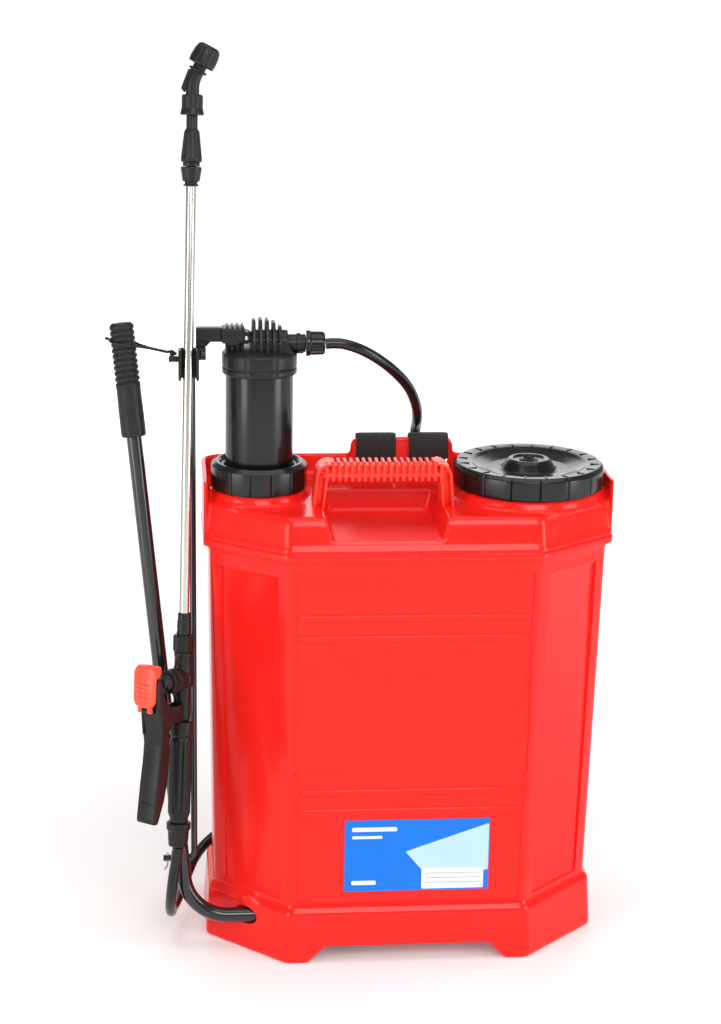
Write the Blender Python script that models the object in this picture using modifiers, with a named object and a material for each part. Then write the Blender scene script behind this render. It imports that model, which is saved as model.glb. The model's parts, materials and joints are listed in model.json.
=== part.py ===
"""A 16 litre backpack sprayer: a moulded tank with a lever pump, a hose and a spray lance.

Sizes below are in millimetres, in the tank's own axes: X across the user's back, Y from the
front of the tank (-Y) to the user's back (+Y), Z up from the floor. The helpers turn them
into Blender's metres, and place() moves the finished object onto its own origin.
"""

import math

import bmesh
import bpy
from mathutils import Matrix, Vector

MM = 0.001
GAP = 0.3

# The object's origin is the middle of its footprint, given here in the tank's axes.
CENTRE = (-44.3, -5.8)

# Tank
TANK_BACK = 85.0
TANK_WALL = 3.0
SKIRT_TOP = 52.0
LIP_Z = 398.0
DECK_Z = 433.0
RIM_TOP = 454.0
RIM_THICK = 4.0
RECESS_DEPTH = 18.0
RECESS_HALF = 105.0
POCKET_X = (-79.0, 27.0)
POCKET_FLOOR = 409.0
LUG_X = (-47.0, 52.0)
LUG_TOP = 469.0
FOOT_ARCH = 17.0

# Filler lid
LID_AT = (113.5, 7.0)
LID_R = 70.5
LID_TOP = 464.4
LID_BASE = 442.8
MOUTH_R = 58.0

# Pump
PUMP_AT = (-138.0, 7.0)
CHAMBER_R = 31.0
NUT_R = 44.5
NUT_BASE = 442.0
NUT_TOP = 467.0
COLLAR_R = 34.3
COLLAR_Z = (549.0, 569.0)
HEAD_TOP = 599.0
OUTLET_Z = 576.0
ARM_Y = 7.0
BORE_R = 23.0

# Lever
AXLE_AT = (-50.0, 35.7)
AXLE_END_X = -12.0
LEVER_CORNER = Vector((-205.0, -50.0, 35.7))
LEVER_TIP = Vector((-262.9, 8.8, 594.5))
LEVER_R = 7.0
LEVER_BEND = 42.0
GRIP_LOW = 492.0
GRIP_R = 11.3
CRANK_Z = 93.1
ROD_R = 3.0
ROD_X = -199.3
ROD_TOP_Z = 565.0
STUD_AT = Vector((-217.6, -4.0, 569.3))

# Lance and gun: the tube's axis leans forward at the bottom, and the gun hangs from its foot.
LANCE_FOOT = Vector((-208.3, -43.0, 309.0))
LANCE_DIR = Vector((7.6, 45.5, 359.5)).normalized()
GUN_TAIL = Vector((-214.9, -67.3, 115.8))
GUN_TURN = math.radians(50.0)
TUBE_R = 4.5
TUBE_LENGTH = 418.0

# Hose
HOSE_R = 5.0
HOSE_UPPER = (
    (-77.9, 7, 575.4), (-64, 7, 575.6), (-47.5, 9, 570.5), (-30.4, 15, 560.6), (-12.2, 27, 545.2),
    (3.5, 44, 526.1), (13.3, 63, 504.6), (16.8, 81, 486.4), (17.5, 93.5, 478.5), (17.2, 100, 466),
    (15.5, 101.5, 450), (12, 101.5, 434), (7, 100, 414), (3, 95, 397), (0.8, 88.5, 380),
)
HOSE_LOWER = (
    (0.6, 88.1, 379.2), (-3, 80.5, 362), (-10, 75.5, 340), (-22, 73.5, 308), (-38, 73.5, 268),
    (-58, 74, 226), (-80, 76, 184), (-100, 81, 146), (-121, 91.5, 111), (-145, 97.5, 80),
    (-168, 98.5, 58), (-186, 91, 45), (-197, 73, 38), (-204, 50, 33), (-209.5, 27, 30),
    (-214.6, 5, 27.6), (-219.2, -15, 27.8), (-221.2, -34, 33), (-222, -49, 46),
    (-221.2, -59, 63), (-219.4, -64.2, 82), (-216.8, -66.6, 100), (-215.0, -67.5, 115.0),
)

# Straps
STRAP_X = (-22.5, 28.0)
WEB_HALF = 19.0
PAD_HALF = 27.0

RED = (0.86, 0.035, 0.02)
SALMON = (0.9, 0.09, 0.045)
BLACK = (0.012, 0.012, 0.013)
BROWN_BLACK = (0.022, 0.018, 0.017)
STEEL = (0.62, 0.6, 0.57)


def clear_scene():
    for obj in list(bpy.data.objects):
        bpy.data.objects.remove(obj, do_unlink=True)


def collection(name):
    made = bpy.data.collections.new(name)
    bpy.context.scene.collection.children.link(made)
    return made


clear_scene()
PARTS = collection("backpack_sprayer")
CUTTERS = collection("cutters")


# ---------------------------------------------------------------- helpers


def material(name, colour, roughness, metallic=0.0):
    made = bpy.data.materials.new(name)
    made.use_nodes = True
    shader = made.node_tree.nodes["Principled BSDF"]
    shader.inputs["Base Color"].default_value = (*colour, 1.0)
    shader.inputs["Roughness"].default_value = roughness
    shader.inputs["Metallic"].default_value = metallic
    return made


def empty(name, location, rotation=None, parent=None):
    made = bpy.data.objects.new(name, None)
    PARTS.objects.link(made)
    matrix = Matrix.Translation(Vector(location) * MM)
    if rotation is not None:
        matrix = matrix @ rotation.to_4x4()
    made.matrix_world = matrix
    bpy.context.view_layer.update()
    if parent is not None:
        hold(made, parent)
    return made


def hold(obj, parent):
    """Parents obj and keeps it where it is."""
    bpy.context.view_layer.update()
    obj.parent = parent
    obj.matrix_parent_inverse = parent.matrix_world.inverted()


def boolean(obj, others, operation):
    """One exact Boolean of obj with all the others, which become its cutters."""
    tools = bpy.data.collections.new(f"{obj.name}_{operation.lower()}")
    CUTTERS.children.link(tools)
    for other in others:
        for owner in list(other.users_collection):
            owner.objects.unlink(other)
        tools.objects.link(other)
        other.hide_render = True
        other.display_type = "WIRE"
    mod = obj.modifiers.new(operation.lower(), "BOOLEAN")
    mod.operation = operation
    mod.solver = "EXACT"
    mod.operand_type = "COLLECTION"
    mod.collection = tools
    return obj


def cut(obj, *others):
    return boolean(obj, others, "DIFFERENCE")


def join(obj, *others):
    return boolean(obj, others, "UNION")


def from_bmesh(name, bm, look=None, smooth=False):
    bmesh.ops.recalc_face_normals(bm, faces=bm.faces)
    mesh = bpy.data.meshes.new(name)
    bm.to_mesh(mesh)
    bm.free()
    if smooth:
        mesh.shade_smooth()
        mesh.set_sharp_from_angle(angle=math.radians(35))
    obj = bpy.data.objects.new(name, mesh)
    PARTS.objects.link(obj)
    if look is not None:
        mesh.materials.append(look)
    return obj


def box(name, low, high, look=None, edge=0.0):
    """A box between two corners; edge bevels all its edges."""
    bm = bmesh.new()
    bmesh.ops.create_cube(bm, size=1.0)
    size = [b - a for a, b in zip(low, high)]
    middle = [(a + b) / 2 for a, b in zip(low, high)]
    bmesh.ops.scale(bm, vec=Vector(size) * MM, verts=bm.verts)
    bmesh.ops.translate(bm, vec=Vector(middle) * MM, verts=bm.verts)
    obj = from_bmesh(name, bm, look)
    if edge:
        bevel = obj.modifiers.new("edge", "BEVEL")
        bevel.width = edge * MM
        bevel.segments = 1
    return obj


def loft(name, rings, look=None):
    """Skins closed rings of equal length and caps the first and the last."""
    bm = bmesh.new()
    rows = [[bm.verts.new(Vector(p) * MM) for p in ring] for ring in rings]
    for low, high in zip(rows, rows[1:]):
        for i in range(len(low)):
            j = (i + 1) % len(low)
            bm.faces.new((low[i], low[j], high[j], high[i]))
    bm.faces.new(rows[0])
    bm.faces.new(rows[-1])
    return from_bmesh(name, bm, look)


def prism(name, outline, low, high, look=None, axis="Z", holes=()):
    """A flat outline, with holes, extruded from low to high along an axis."""
    curve = bpy.data.curves.new(name, "CURVE")
    curve.dimensions = "2D"
    curve.fill_mode = "BOTH"
    curve.extrude = (high - low) / 2 * MM
    for points in (outline, *holes):
        spline = curve.splines.new("POLY")
        spline.points.add(len(points) - 1)
        for point, (u, v) in zip(spline.points, points):
            point.co = (u * MM, v * MM, 0, 1)
        spline.use_cyclic_u = True
    middle = (low + high) / 2 * MM
    frames = {
        "Z": Matrix.Translation((0, 0, middle)),
        "Y": Matrix.Translation((0, middle, 0)) @ Matrix.Rotation(math.pi / 2, 4, "X"),
        "X": Matrix.Translation((middle, 0, 0))
        @ Matrix(((0, 0, 1, 0), (1, 0, 0, 0), (0, 1, 0, 0), (0, 0, 0, 1))),
    }
    obj = bpy.data.objects.new(name, curve)
    PARTS.objects.link(obj)
    obj.matrix_world = frames[axis]
    return meshed(obj, name, look)


def meshed(curve_object, name, look=None, smooth=False):
    """Turns a curve object into a closed mesh object in the same place."""
    bpy.context.view_layer.update()
    graph = bpy.context.evaluated_depsgraph_get()
    mesh = bpy.data.meshes.new_from_object(curve_object.evaluated_get(graph))
    mesh.transform(curve_object.matrix_world)
    bm = bmesh.new()
    bm.from_mesh(mesh)
    bmesh.ops.remove_doubles(bm, verts=bm.verts, dist=1e-6)
    bpy.data.objects.remove(curve_object, do_unlink=True)
    return from_bmesh(name, bm, look, smooth)


def turned(name, profile, look=None, steps=24, closed=True):
    """Turns (radius, height) points about Z. A closed profile is a ring; an open one ends on
    the axis, and runs down its outer side."""
    mesh = bpy.data.meshes.new(name)
    points = [(r * MM, 0, z * MM) for r, z in profile]
    edges = [(i, i + 1) for i in range(len(points) - 1)]
    if closed:
        edges.append((len(points) - 1, 0))
    mesh.from_pydata(points, edges, [])
    obj = bpy.data.objects.new(name, mesh)
    PARTS.objects.link(obj)
    screw = obj.modifiers.new("turn", "SCREW")
    screw.steps = screw.render_steps = steps
    screw.use_merge_vertices = True
    screw.merge_threshold = 1e-6
    if look is not None:
        mesh.materials.append(look)
    return obj


def disc(name, radius, low, high, look=None, steps=24):
    """A plain cylinder about Z."""
    return turned(name, [(0, high), (radius, high), (radius, low), (0, low)], look, steps, False)


def ring(name, inner, outer, low, high, look=None, steps=24):
    """A plain tube about Z."""
    profile = [(inner, high), (outer, high), (outer, low), (inner, low)]
    return turned(name, profile, look, steps)


def at(obj, location, direction=None, matrix=None):
    """Puts an object that was made about Z at a place, along a direction or in a frame."""
    move = Matrix.Translation(Vector(location) * MM)
    if direction is not None:
        move = move @ Vector((0, 0, 1)).rotation_difference(Vector(direction)).to_matrix().to_4x4()
    obj.matrix_world = (matrix or Matrix.Identity(4)) @ move @ obj.matrix_world
    bpy.context.view_layer.update()
    return obj


def smooth_path(points, spacing):
    """Points every spacing or so along a Catmull-Rom curve through the given ones."""
    knots = [Vector(p) for p in points]
    knots = [2 * knots[0] - knots[1], *knots, 2 * knots[-1] - knots[-2]]
    path = []
    for a, b, c, d in zip(knots, knots[1:], knots[2:], knots[3:]):
        count = max(1, round((c - b).length / spacing))
        for i in range(count):
            t = i / count
            path.append(
                0.5 * (2 * b + (c - a) * t + (2 * a - 5 * b + 4 * c - d) * t**2
                       + (3 * b - a - 3 * c + d) * t**3)
            )
    path.append(knots[-2])
    return path


def tube(name, points, radius, look=None, resolution=3, keep_curve=False):
    curve = bpy.data.curves.new(name, "CURVE")
    curve.dimensions = "3D"
    curve.bevel_depth = radius * MM
    curve.bevel_resolution = resolution
    curve.use_fill_caps = True
    spline = curve.splines.new("POLY")
    spline.points.add(len(points) - 1)
    for point, place in zip(spline.points, points):
        point.co = (*(Vector(place) * MM), 1)
    obj = bpy.data.objects.new(name, curve)
    PARTS.objects.link(obj)
    if keep_curve:
        curve.materials.append(look)
        return obj
    return meshed(obj, name, look, smooth=True)


def arc(centre, radius, start, end, steps):
    """Points on an arc, angles in degrees."""
    return [
        (centre[0] + radius * math.cos(math.radians(start + (end - start) * i / steps)),
         centre[1] + radius * math.sin(math.radians(start + (end - start) * i / steps)))
        for i in range(steps + 1)
    ]


def fillet(a, corner, b, radius, steps):
    """Points of an arc of a radius that rounds the corner between a and b, in 2D or 3D."""
    a, corner, b = Vector(a), Vector(corner), Vector(b)
    u, v = (a - corner).normalized(), (b - corner).normalized()
    half = u.angle(v) / 2
    reach = radius / math.tan(half)
    centre = corner + (u + v).normalized() * radius / math.sin(half)
    first, last = corner + u * reach - centre, corner + v * reach - centre
    return [centre + slerp(first, last, i / steps) for i in range(steps + 1)]


def slerp(first, last, t):
    angle = first.angle(last)
    return (first * math.sin((1 - t) * angle) + last * math.sin(t * angle)) / math.sin(angle)


def rounded(corners, steps=2):
    """A closed outline from (x, y, radius) corners."""
    outline = []
    for i, (x, y, radius) in enumerate(corners):
        before, after = corners[i - 1], corners[(i + 1) % len(corners)]
        points = fillet(before[:2], (x, y), after[:2], radius, steps)
        outline += [(p[0], p[1]) for p in points]
    return outline


# ---------------------------------------------------------------- looks

red_plastic = material("red_plastic", RED, 0.28)
salmon_plastic = material("handle_plastic", SALMON, 0.34)
black_gloss = material("black_gloss_plastic", BLACK, 0.3)
black_matte = material("black_matte_plastic", BROWN_BLACK, 0.5)
black_steel = material("black_painted_steel", BLACK, 0.25, 0.1)
bright_steel = material("stainless_steel", STEEL, 0.22, 1.0)
orange_plastic = material("lock_plastic", (0.95, 0.07, 0.03), 0.35)
black_rubber = material("black_rubber", (0.015, 0.015, 0.015), 0.6)
webbing = material("black_webbing", (0.02, 0.02, 0.02), 0.85)
hose_rubber = material("hose_pvc", (0.01, 0.01, 0.01), 0.25)
label_film = material("label_film", (0.06, 0.25, 0.85), 0.35)
white_plastic = material("natural_plastic", (0.75, 0.74, 0.7), 0.45)


# ---------------------------------------------------------------- tank


def plan(front_half, side_half, front, side, z, inset=0.0, recess=0.0):
    """The tank's outline at a height: a front face, two chamfers, short sides and a back that
    is recessed between its two side lobes."""
    back = TANK_BACK - inset
    floor = back - max(recess, 0.4)
    half = RECESS_HALF
    corners = [
        (-front_half + inset * 0.5, front + inset, 12), (front_half - inset * 0.5, front + inset, 12),
        (side_half - inset, side + inset * 0.5, 10), (side_half - inset, back, 20 - inset),
        (half + 14, back, 6), (half, floor, 6), (-half, floor, 6), (-half - 14, back, 6),
        (-side_half + inset, back, 20 - inset), (-side_half + inset, side + inset * 0.5, 10),
    ]
    return [(x, y, z) for x, y in rounded(corners)]


def body_plan(z, inset=0.0, recess=RECESS_DEPTH):
    """The body's outline, which widens a little from its foot to the lip."""
    t = (z - SKIRT_TOP) / (LIP_Z - SKIRT_TOP)
    return plan(109.5 + 4 * t, 179.5 + 5 * t, -80.5 + t, -15 - 8 * t, z, inset, recess)


def make_tank():
    tank = loft("tank_shell", [
        plan(113.5, 186, -83.5, -17, 0),
        plan(115, 187.6, -85, -17.5, 3),
        plan(112.5, 184.8, -84.7, -16, SKIRT_TOP - 3),
        plan(111, 183, -83, -15.5, SKIRT_TOP),
        body_plan(SKIRT_TOP + 4, recess=0),
        body_plan(SKIRT_TOP + 22),
        body_plan(LIP_Z - 26),
        body_plan(LIP_Z - 10, recess=0),
        plan(116, 190, -84, -27, LIP_Z - 4),
        plan(116, 190, -84, -27, LIP_Z + 5),
        plan(114.5, 187, -80.5, -25.5, LIP_Z + 8),
        plan(113.5, 183, -73.5, -20, DECK_Z - 4),
        plan(111, 180, -69, -18, DECK_Z),
    ], red_plastic)
    rim = prism("tank_rim", rim_outline(), LIP_Z + 2, RIM_TOP, axis="Z")
    lug = box("tank_lug", (LUG_X[0], TANK_BACK - 6, DECK_Z - 7), (LUG_X[1], TANK_BACK + 0.5, LUG_TOP), edge=1.5)
    filler_neck = turned("filler_neck", [
        (0, 456), (64, 456), (64, LID_BASE - 1), (69, LID_BASE - 1), (70, DECK_Z - 2), (0, DECK_Z - 2),
    ], None, 40, closed=False)
    pump_neck = turned("pump_neck", [
        (0, 451.5), (40, 451.5), (40, NUT_BASE - 1), (43.5, NUT_BASE - 1), (44.5, DECK_Z - 2),
        (0, DECK_Z - 2),
    ], None, 32, closed=False)
    join(tank, rim, lug, at(filler_neck, (*LID_AT, 0)), at(pump_neck, (*PUMP_AT, 0)))
    pocket = pocket_cutter("pocket", 0)
    cavity = loft("cavity", [
        body_plan(SKIRT_TOP + 4, TANK_WALL + 1, recess=0),
        body_plan(SKIRT_TOP + 22, TANK_WALL),
        body_plan(LIP_Z - 26, TANK_WALL),
        body_plan(DECK_Z - 25, TANK_WALL, recess=0),
        plan(113.5, 183, -73.5, -20, DECK_Z - TANK_WALL, 6),
    ])
    cut(cavity, pocket_cutter("pocket_wall", TANK_WALL))
    under = loft("base_hollow", [
        plan(112, 184, -82, -16, -1, 4.5),
        plan(110, 182, -82, -16, SKIRT_TOP - 5, 5.0),
    ])
    arch = [(-97, -1), (-77, FOOT_ARCH), (77, FOOT_ARCH), (97, -1)]
    cut(
        tank, pocket, cavity, under,
        prism("foot_arch", arch, -95, 95, axis="Y"),
        at(disc("filler_mouth", MOUTH_R, 0, 60, steps=40), (*LID_AT, DECK_Z - 30)),
        at(disc("pump_mouth", 36.5, 0, 60, steps=32), (*PUMP_AT, DECK_Z - 30)),
        at(disc("axle_hole", LEVER_R + 2, 0, 110, steps=16), (-202, *AXLE_AT), (1, 0, 0)),
        *(box(f"strap_slot_{i}", (x - 21, TANK_BACK - 8, 443.5), (x + 21, TANK_BACK + 2, 451.5))
          for i, x in enumerate(STRAP_X)),
    )
    return tank


def rim_outline():
    """The wall that stands round the deck's sides and back, open at the front."""
    side, back_y = 189.4, TANK_BACK - 0.4
    outer = [(-side, -22), (-side, back_y), (side, back_y), (side, -22)]
    inner = [(side - RIM_THICK, -18), (side - RIM_THICK, back_y - RIM_THICK),
             (-side + RIM_THICK, back_y - RIM_THICK), (-side + RIM_THICK, -18)]
    turn = fillet(outer[0], outer[1], outer[2], 20, 3) + fillet(outer[1], outer[2], outer[3], 20, 3)
    back = fillet(inner[0], inner[1], inner[2], 16, 3) + fillet(inner[1], inner[2], inner[3], 16, 3)
    points = [outer[0], *turn, outer[3], inner[0], *back, inner[3]]
    return [(p[0], p[1]) for p in points]


def pocket_cutter(name, grow):
    """The hand pocket below the carry handle, a scoop that is open to the front."""
    low, high = POCKET_X[0] - grow, POCKET_X[1] + grow
    rings = []
    for z, flare in ((POCKET_FLOOR - grow, 0), (DECK_Z + 30, 9)):
        corners = [(low - flare, -110, 4), (high + flare, -110, 4),
                   (high + flare, 22 + grow, 9), (low - flare, 22 + grow, 9)]
        rings.append([(x, y, z) for x, y in rounded(corners)])
    return loft(name, rings)


def make_handle():
    """The carry handle: a ribbed grip on two channel legs that stand on the deck."""
    left, right = POCKET_X[0] - 11, POCKET_X[1] + 11
    grip = box("carry_handle", (left, -35, 462), (right, -11, 474), salmon_plastic, edge=3)
    for side, x in (("left", left), ("right", right - 7)):
        join(grip, box(f"leg_{side}", (x, -39, DECK_Z + GAP), (x + 7, -7, 470), edge=1))
    return grip


def make_label():
    """The sticker on the front face."""
    tilt = box("front_label", (-60.5, -0.4, 71.5), (75.5, 0, 143.5), label_film)
    tilt.location = (0, -81.0 * MM, 0)
    return tilt


make_tank()
make_handle()
make_label()


# ---------------------------------------------------------------- filler lid and basket


def make_filler():
    lift = empty("lid_lift_axis", (*LID_AT, LID_BASE))
    cap = turned("lid_cap", [
        (0, 463.5), (19, 463.5), (22.5, 460), (40, 460.2), (56, 463), (67, LID_TOP),
        (LID_R, LID_TOP - 2.5), (LID_R, LID_BASE), (66.2, LID_BASE), (66.2, 459.6), (50, 459.6),
        (44, 457.4), (0, 457.4),
    ], black_gloss, 48, closed=False)
    breather = turned("lid_breather", [
        (0, 468.6), (2.5, 468.6), (3, 465.6), (9, 465), (9, 463.8), (0, 463.8),
    ], black_matte, 16, closed=False)
    gasket = ring("lid_gasket", 60.5, 65.6, 458.2, 459.3, black_rubber, 32)
    basket = turned("filler_basket", [
        (0, 399), (51, 399), (54.4, 457.9), (63.5, 457.9), (63.5, 456.3), (56.4, 456.3), (53, 397), (0, 397),
    ], white_plastic, 32, closed=False)
    for obj in (cap, breather, gasket, basket):
        at(obj, (*LID_AT, 0))
    slots = [
        at(box(f"basket_slot_{i}", (-70, -3, 406), (70, 3, 446)), (*LID_AT, 0),
           matrix=None) for i in range(4)
    ]
    for i, slot in enumerate(slots):
        pivot = Matrix.Translation(Vector((*LID_AT, 0)) * MM)
        slot.matrix_world = pivot @ Matrix.Rotation(math.pi / 4 * i, 4, "Z")
    cut(basket, *slots)
    for obj in (cap, breather, gasket, basket):
        hold(obj, lift)


make_filler()


# ---------------------------------------------------------------- pump


def make_cylinder():
    """The fixed cylinder that hangs in the tank, its foot valve, strainer and ring nut."""
    nut = turned("pump_ring_nut", [
        (32.3, 463), (36, 466.3), (42.5, NUT_TOP), (NUT_R, NUT_TOP - 2), (NUT_R, NUT_BASE),
        (40.8, NUT_BASE), (40.8, 455.3), (32.3, 455.3),
    ], black_gloss, 36)
    gasket = ring("pump_gasket", 36.8, 39.6, 451.8, 453.0, black_rubber, 32)
    cylinder = turned("pump_cylinder", [
        (33.5, 455), (40.3, 455), (40.3, 453.3), (36, 453.3), (36, 358), (26, 350), (26, 118),
        (BORE_R + 0.2, 118), (BORE_R + 0.2, 352), (33.5, 360),
    ], black_matte, 28)
    valve = turned("foot_valve_body", [
        (9, 117.7), (26, 117.7), (26, 104), (12, 100), (12, 90), (5, 90), (5, 108), (9, 108),
    ], black_matte, 20)
    strainer = turned("suction_strainer", [
        (0, 65), (17, 65), (17, 97), (20, 97), (20, 62), (0, 62),
    ], white_plastic, 20, closed=False)
    for obj in (nut, gasket, cylinder, valve, strainer):
        at(obj, (*PUMP_AT, 0))
    slots = []
    for i in range(3):
        slot = box(f"strainer_slot_{i}", (-30, -2.5, 70), (30, 2.5, 90))
        at(slot, (0, 0, 0), matrix=Matrix.Translation(Vector((*PUMP_AT, 0)) * MM)
           @ Matrix.Rotation(math.pi / 3 * i, 4, "Z"))
        slots.append(slot)
    cut(strainer, *slots)


def ball(name, radius, z, look):
    bm = bmesh.new()
    bmesh.ops.create_uvsphere(bm, u_segments=12, v_segments=8, radius=radius * MM)
    obj = from_bmesh(name, bm, look, smooth=True)
    obj.location = Vector((*PUMP_AT, z)) * MM
    return obj


def along(name, start, end, radius, look=None, steps=16):
    """A cylinder from start to end."""
    direction = Vector(end) - Vector(start)
    return at(disc(name, radius, 0, direction.length, look, steps), start, direction)


def make_plunger(slide):
    """The air chamber, which is also the plunger, with its head, piston and pump arm."""
    chamber = turned("air_chamber", [
        (28, 562), (CHAMBER_R, 562), (CHAMBER_R, 440), (16, 434), (16, 250), (12, 250),
        (12, 437), (28, 443),
    ], black_gloss, 32)
    piston = turned("piston", [
        (5, 249.7), (19, 249.7), (19, 244), (22.4, 243), (22.4, 236), (5, 236),
    ], white_plastic, 24)
    cup = ring("piston_cup", 8, 22.7, 232, 235.7, black_rubber, 24)
    head = turned("chamber_head", [
        (0, 571.5), (30, 571.5), (COLLAR_R, COLLAR_Z[1]), (COLLAR_R, COLLAR_Z[0]),
        (31.4, COLLAR_Z[0]), (31.4, 562.3), (0, 562.3),
    ], black_matte, 32, closed=False)
    for obj in (chamber, piston, cup, head):
        at(obj, (*PUMP_AT, 0))
    fins = [
        prism(f"fin_{i}", fin_outline(top), x - 1.4, x + 1.4, axis="X")
        for i, (x, top) in enumerate(zip((-142.4, -136.6, -130.8, -125, -119.2),
                                         (HEAD_TOP - 1, HEAD_TOP, HEAD_TOP - 1, 595, 591)))
    ]
    join(head, box("pillar", (-169, -5, 566), (-155, 19, 573.2)),
         along("outlet_core", (-144.5, ARM_Y, OUTLET_Z), (-112, ARM_Y, OUTLET_Z), 12.5),
         along("outlet_spout", (-120, ARM_Y, OUTLET_Z), (-96.4, ARM_Y, OUTLET_Z), 8.5), *fins)
    hose_nut = turned("pump_hose_nut", [
        (5.4, 17.3), (10.6, 17.3), (10.9, 4), (12, 3.5), (12, 0), (5.4, 0),
    ], black_gloss, 12)
    at(hose_nut, (-96, ARM_Y, OUTLET_Z), (1, 0, 0))
    arm = box("pump_arm", (-173, -5, 573.6), (-152, 19, 591.5), black_matte, edge=1)
    join(arm, box("arm_beam", (-196, 1, 577), (-170, 13, 591), edge=0.8),
         box("arm_web", (-196, 1.2, 562), (-186.8, 12.8, 580)),
         along("arm_eye", (-150.5, -3, 582.5), (-150.5, 17, 582.5), 5.4))
    cut(arm, along("pin_hole", (-150.5, -10, 582.5), (-150.5, 24, 582.5), 3.2),
        along("screw_hole", (-189.9, -1, 568), (-189.9, 9, 568), 2.1, steps=12))
    pin = along("arm_pin", (-150.5, -6, 582.5), (-150.5, 20, 582.5), 2.8, bright_steel, 12)
    clip = box("lance_clip", (-211.6, -4.4, 546), (-193.6, -1.2, 574), black_matte)
    join(clip, box("jaw_left", (-211.6, -17, 546), (-208.6, -3, 574)),
         box("jaw_right", (-196.6, -17, 546), (-193.6, -3, 574)),
         box("clip_tongue", (-195.9, -4.3, 562.4), (-186.8, 0.8, 573.7)),
         box("clip_lug", (-220.6, -6, 561), (-210, -2, 566.5)),
         at(disc("clip_stud", 1.8, 565, 572, steps=10), (STUD_AT.x, STUD_AT.y, 0)))
    cut(clip, along("clip_hole", (-189.9, -6, 568), (-189.9, 2, 568), 2.1, steps=12))
    screw = turned("clip_screw", [
        (0, 2.4), (2.2, 2.1), (2.9, 0), (1.75, 0), (1.75, -11), (0, -11),
    ], bright_steel, 12, closed=False)
    at(screw, (-189.9, -4.75, 568), (0, -1, 0))
    for obj in (chamber, piston, cup, head, hose_nut, arm, pin, clip, screw):
        hold(obj, slide)


def fin_outline(top):
    """A cooling-fin shape across the head, with a rounded top."""
    low, high = ARM_Y - 21, ARM_Y + 21
    crown = [(ARM_Y + 21 * math.cos(a), top - 12 + 12 * math.sin(a))
             for a in (math.pi * i / 6 for i in range(7))]
    return [(low, 568), (high, 568), *crown]


pump_slide = empty("pump_slide_axis", (*PUMP_AT, NUT_TOP))
make_cylinder()
make_plunger(pump_slide)
inlet = empty("inlet_ball_axis", (*PUMP_AT, 112.5))
hold(ball("inlet_ball", 6.5, 112.5, bright_steel), inlet)
outlet = empty("outlet_ball_axis", (*PUMP_AT, 253.4), parent=pump_slide)
hold(ball("outlet_ball", 6, 253.4, bright_steel), outlet)


# ---------------------------------------------------------------- lever and connecting rod


def lever_point(z):
    """The point of the lever's straight part at a height."""
    t = (z - LEVER_CORNER.z) / (LEVER_TIP.z - LEVER_CORNER.z)
    return LEVER_CORNER.lerp(LEVER_TIP, t)


def make_lever(pivot):
    y, z = AXLE_AT
    direction = (LEVER_TIP - LEVER_CORNER).normalized()
    start = Vector((AXLE_END_X, y, z))
    path = [start, *fillet(start, LEVER_CORNER, LEVER_TIP, LEVER_BEND, 8), LEVER_TIP - direction * 5]
    bar = tube("lever_bar", path, LEVER_R, black_steel, resolution=4)
    crank = lever_point(CRANK_Z)
    cut(bar, along("crank_hole", (-230, crank.y, crank.z), (-190, crank.y, crank.z), 3.7))
    length = (LEVER_TIP - LEVER_CORNER).length
    low = (GRIP_LOW - LEVER_CORNER.z) / direction.z
    rings = 11
    pitch = 5.4
    profile = [(0, length), (GRIP_R - 2, length), (GRIP_R, length - 2)]
    for i in range(rings):
        top = length - 4 - i * pitch
        profile += [(GRIP_R, top), (GRIP_R - 1.1, top - 1), (GRIP_R - 1.1, top - 2), (GRIP_R, top - 3)]
    profile += [(GRIP_R, low), (7.4, low), (7.4, length - 4.4), (0, length - 4.4)]
    grip = turned("lever_grip", profile, black_rubber, 16, closed=False)
    at(grip, LEVER_CORNER, direction)
    retainer = ring("axle_retainer", LEVER_R + 0.35, 10.6, 0, 2.5, bright_steel, 16)
    at(retainer, (-26, y, z), (1, 0, 0))
    for obj in (bar, grip, retainer):
        hold(obj, pivot)
    for side, x in (("left", -116), ("right", -54)):
        bush = box(f"axle_bush_{side}", (x, y - 13, z - 12), (x + 18, y + 13, 46.7), black_matte)
        cut(bush, along(f"bush_bore_{side}", (x - 5, y, z), (x + 25, y, z), LEVER_R + 0.45))


def make_keeper(holder):
    """The loop that keeps the stowed lever upright: a teardrop round the grip whose tail hooks
    over the stud on the lance clip."""
    centre = lever_point(577)
    reach = STUD_AT - centre
    span = reach.length
    hook = [(span + 4.7 * math.cos(math.radians(a)), 4.7 * math.sin(math.radians(a)))
            for a in range(155, -51, -25)]
    eye = [(span + 2.7 * math.cos(math.radians(a)), 2.7 * math.sin(math.radians(a)))
           for a in range(-50, 206, 32)]
    outline = [*arc((0, 0), 17.6, 70, 290, 10), (27, -3.4), (31, -1.7), (span - 4, -1.7),
               *reversed(eye), *reversed(hook), (31, 1.7), (27, 3.4)]
    hole = [*arc((0, 0), 14.6, 70, 290, 10), (22, -1.2), (22, 1.2)]
    loop = prism("keeper_loop", outline, -1.7, 1.7, black_matte, holes=[hole])
    x_axis = reach.normalized()
    z_axis = (Vector((0, 0, 1)) - x_axis * x_axis.z).normalized()
    frame = Matrix((x_axis, z_axis.cross(x_axis), z_axis)).transposed().to_4x4()
    at(loop, (0, 0, 0), matrix=Matrix.Translation(centre * MM) @ frame)
    hold(loop, holder)


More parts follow.
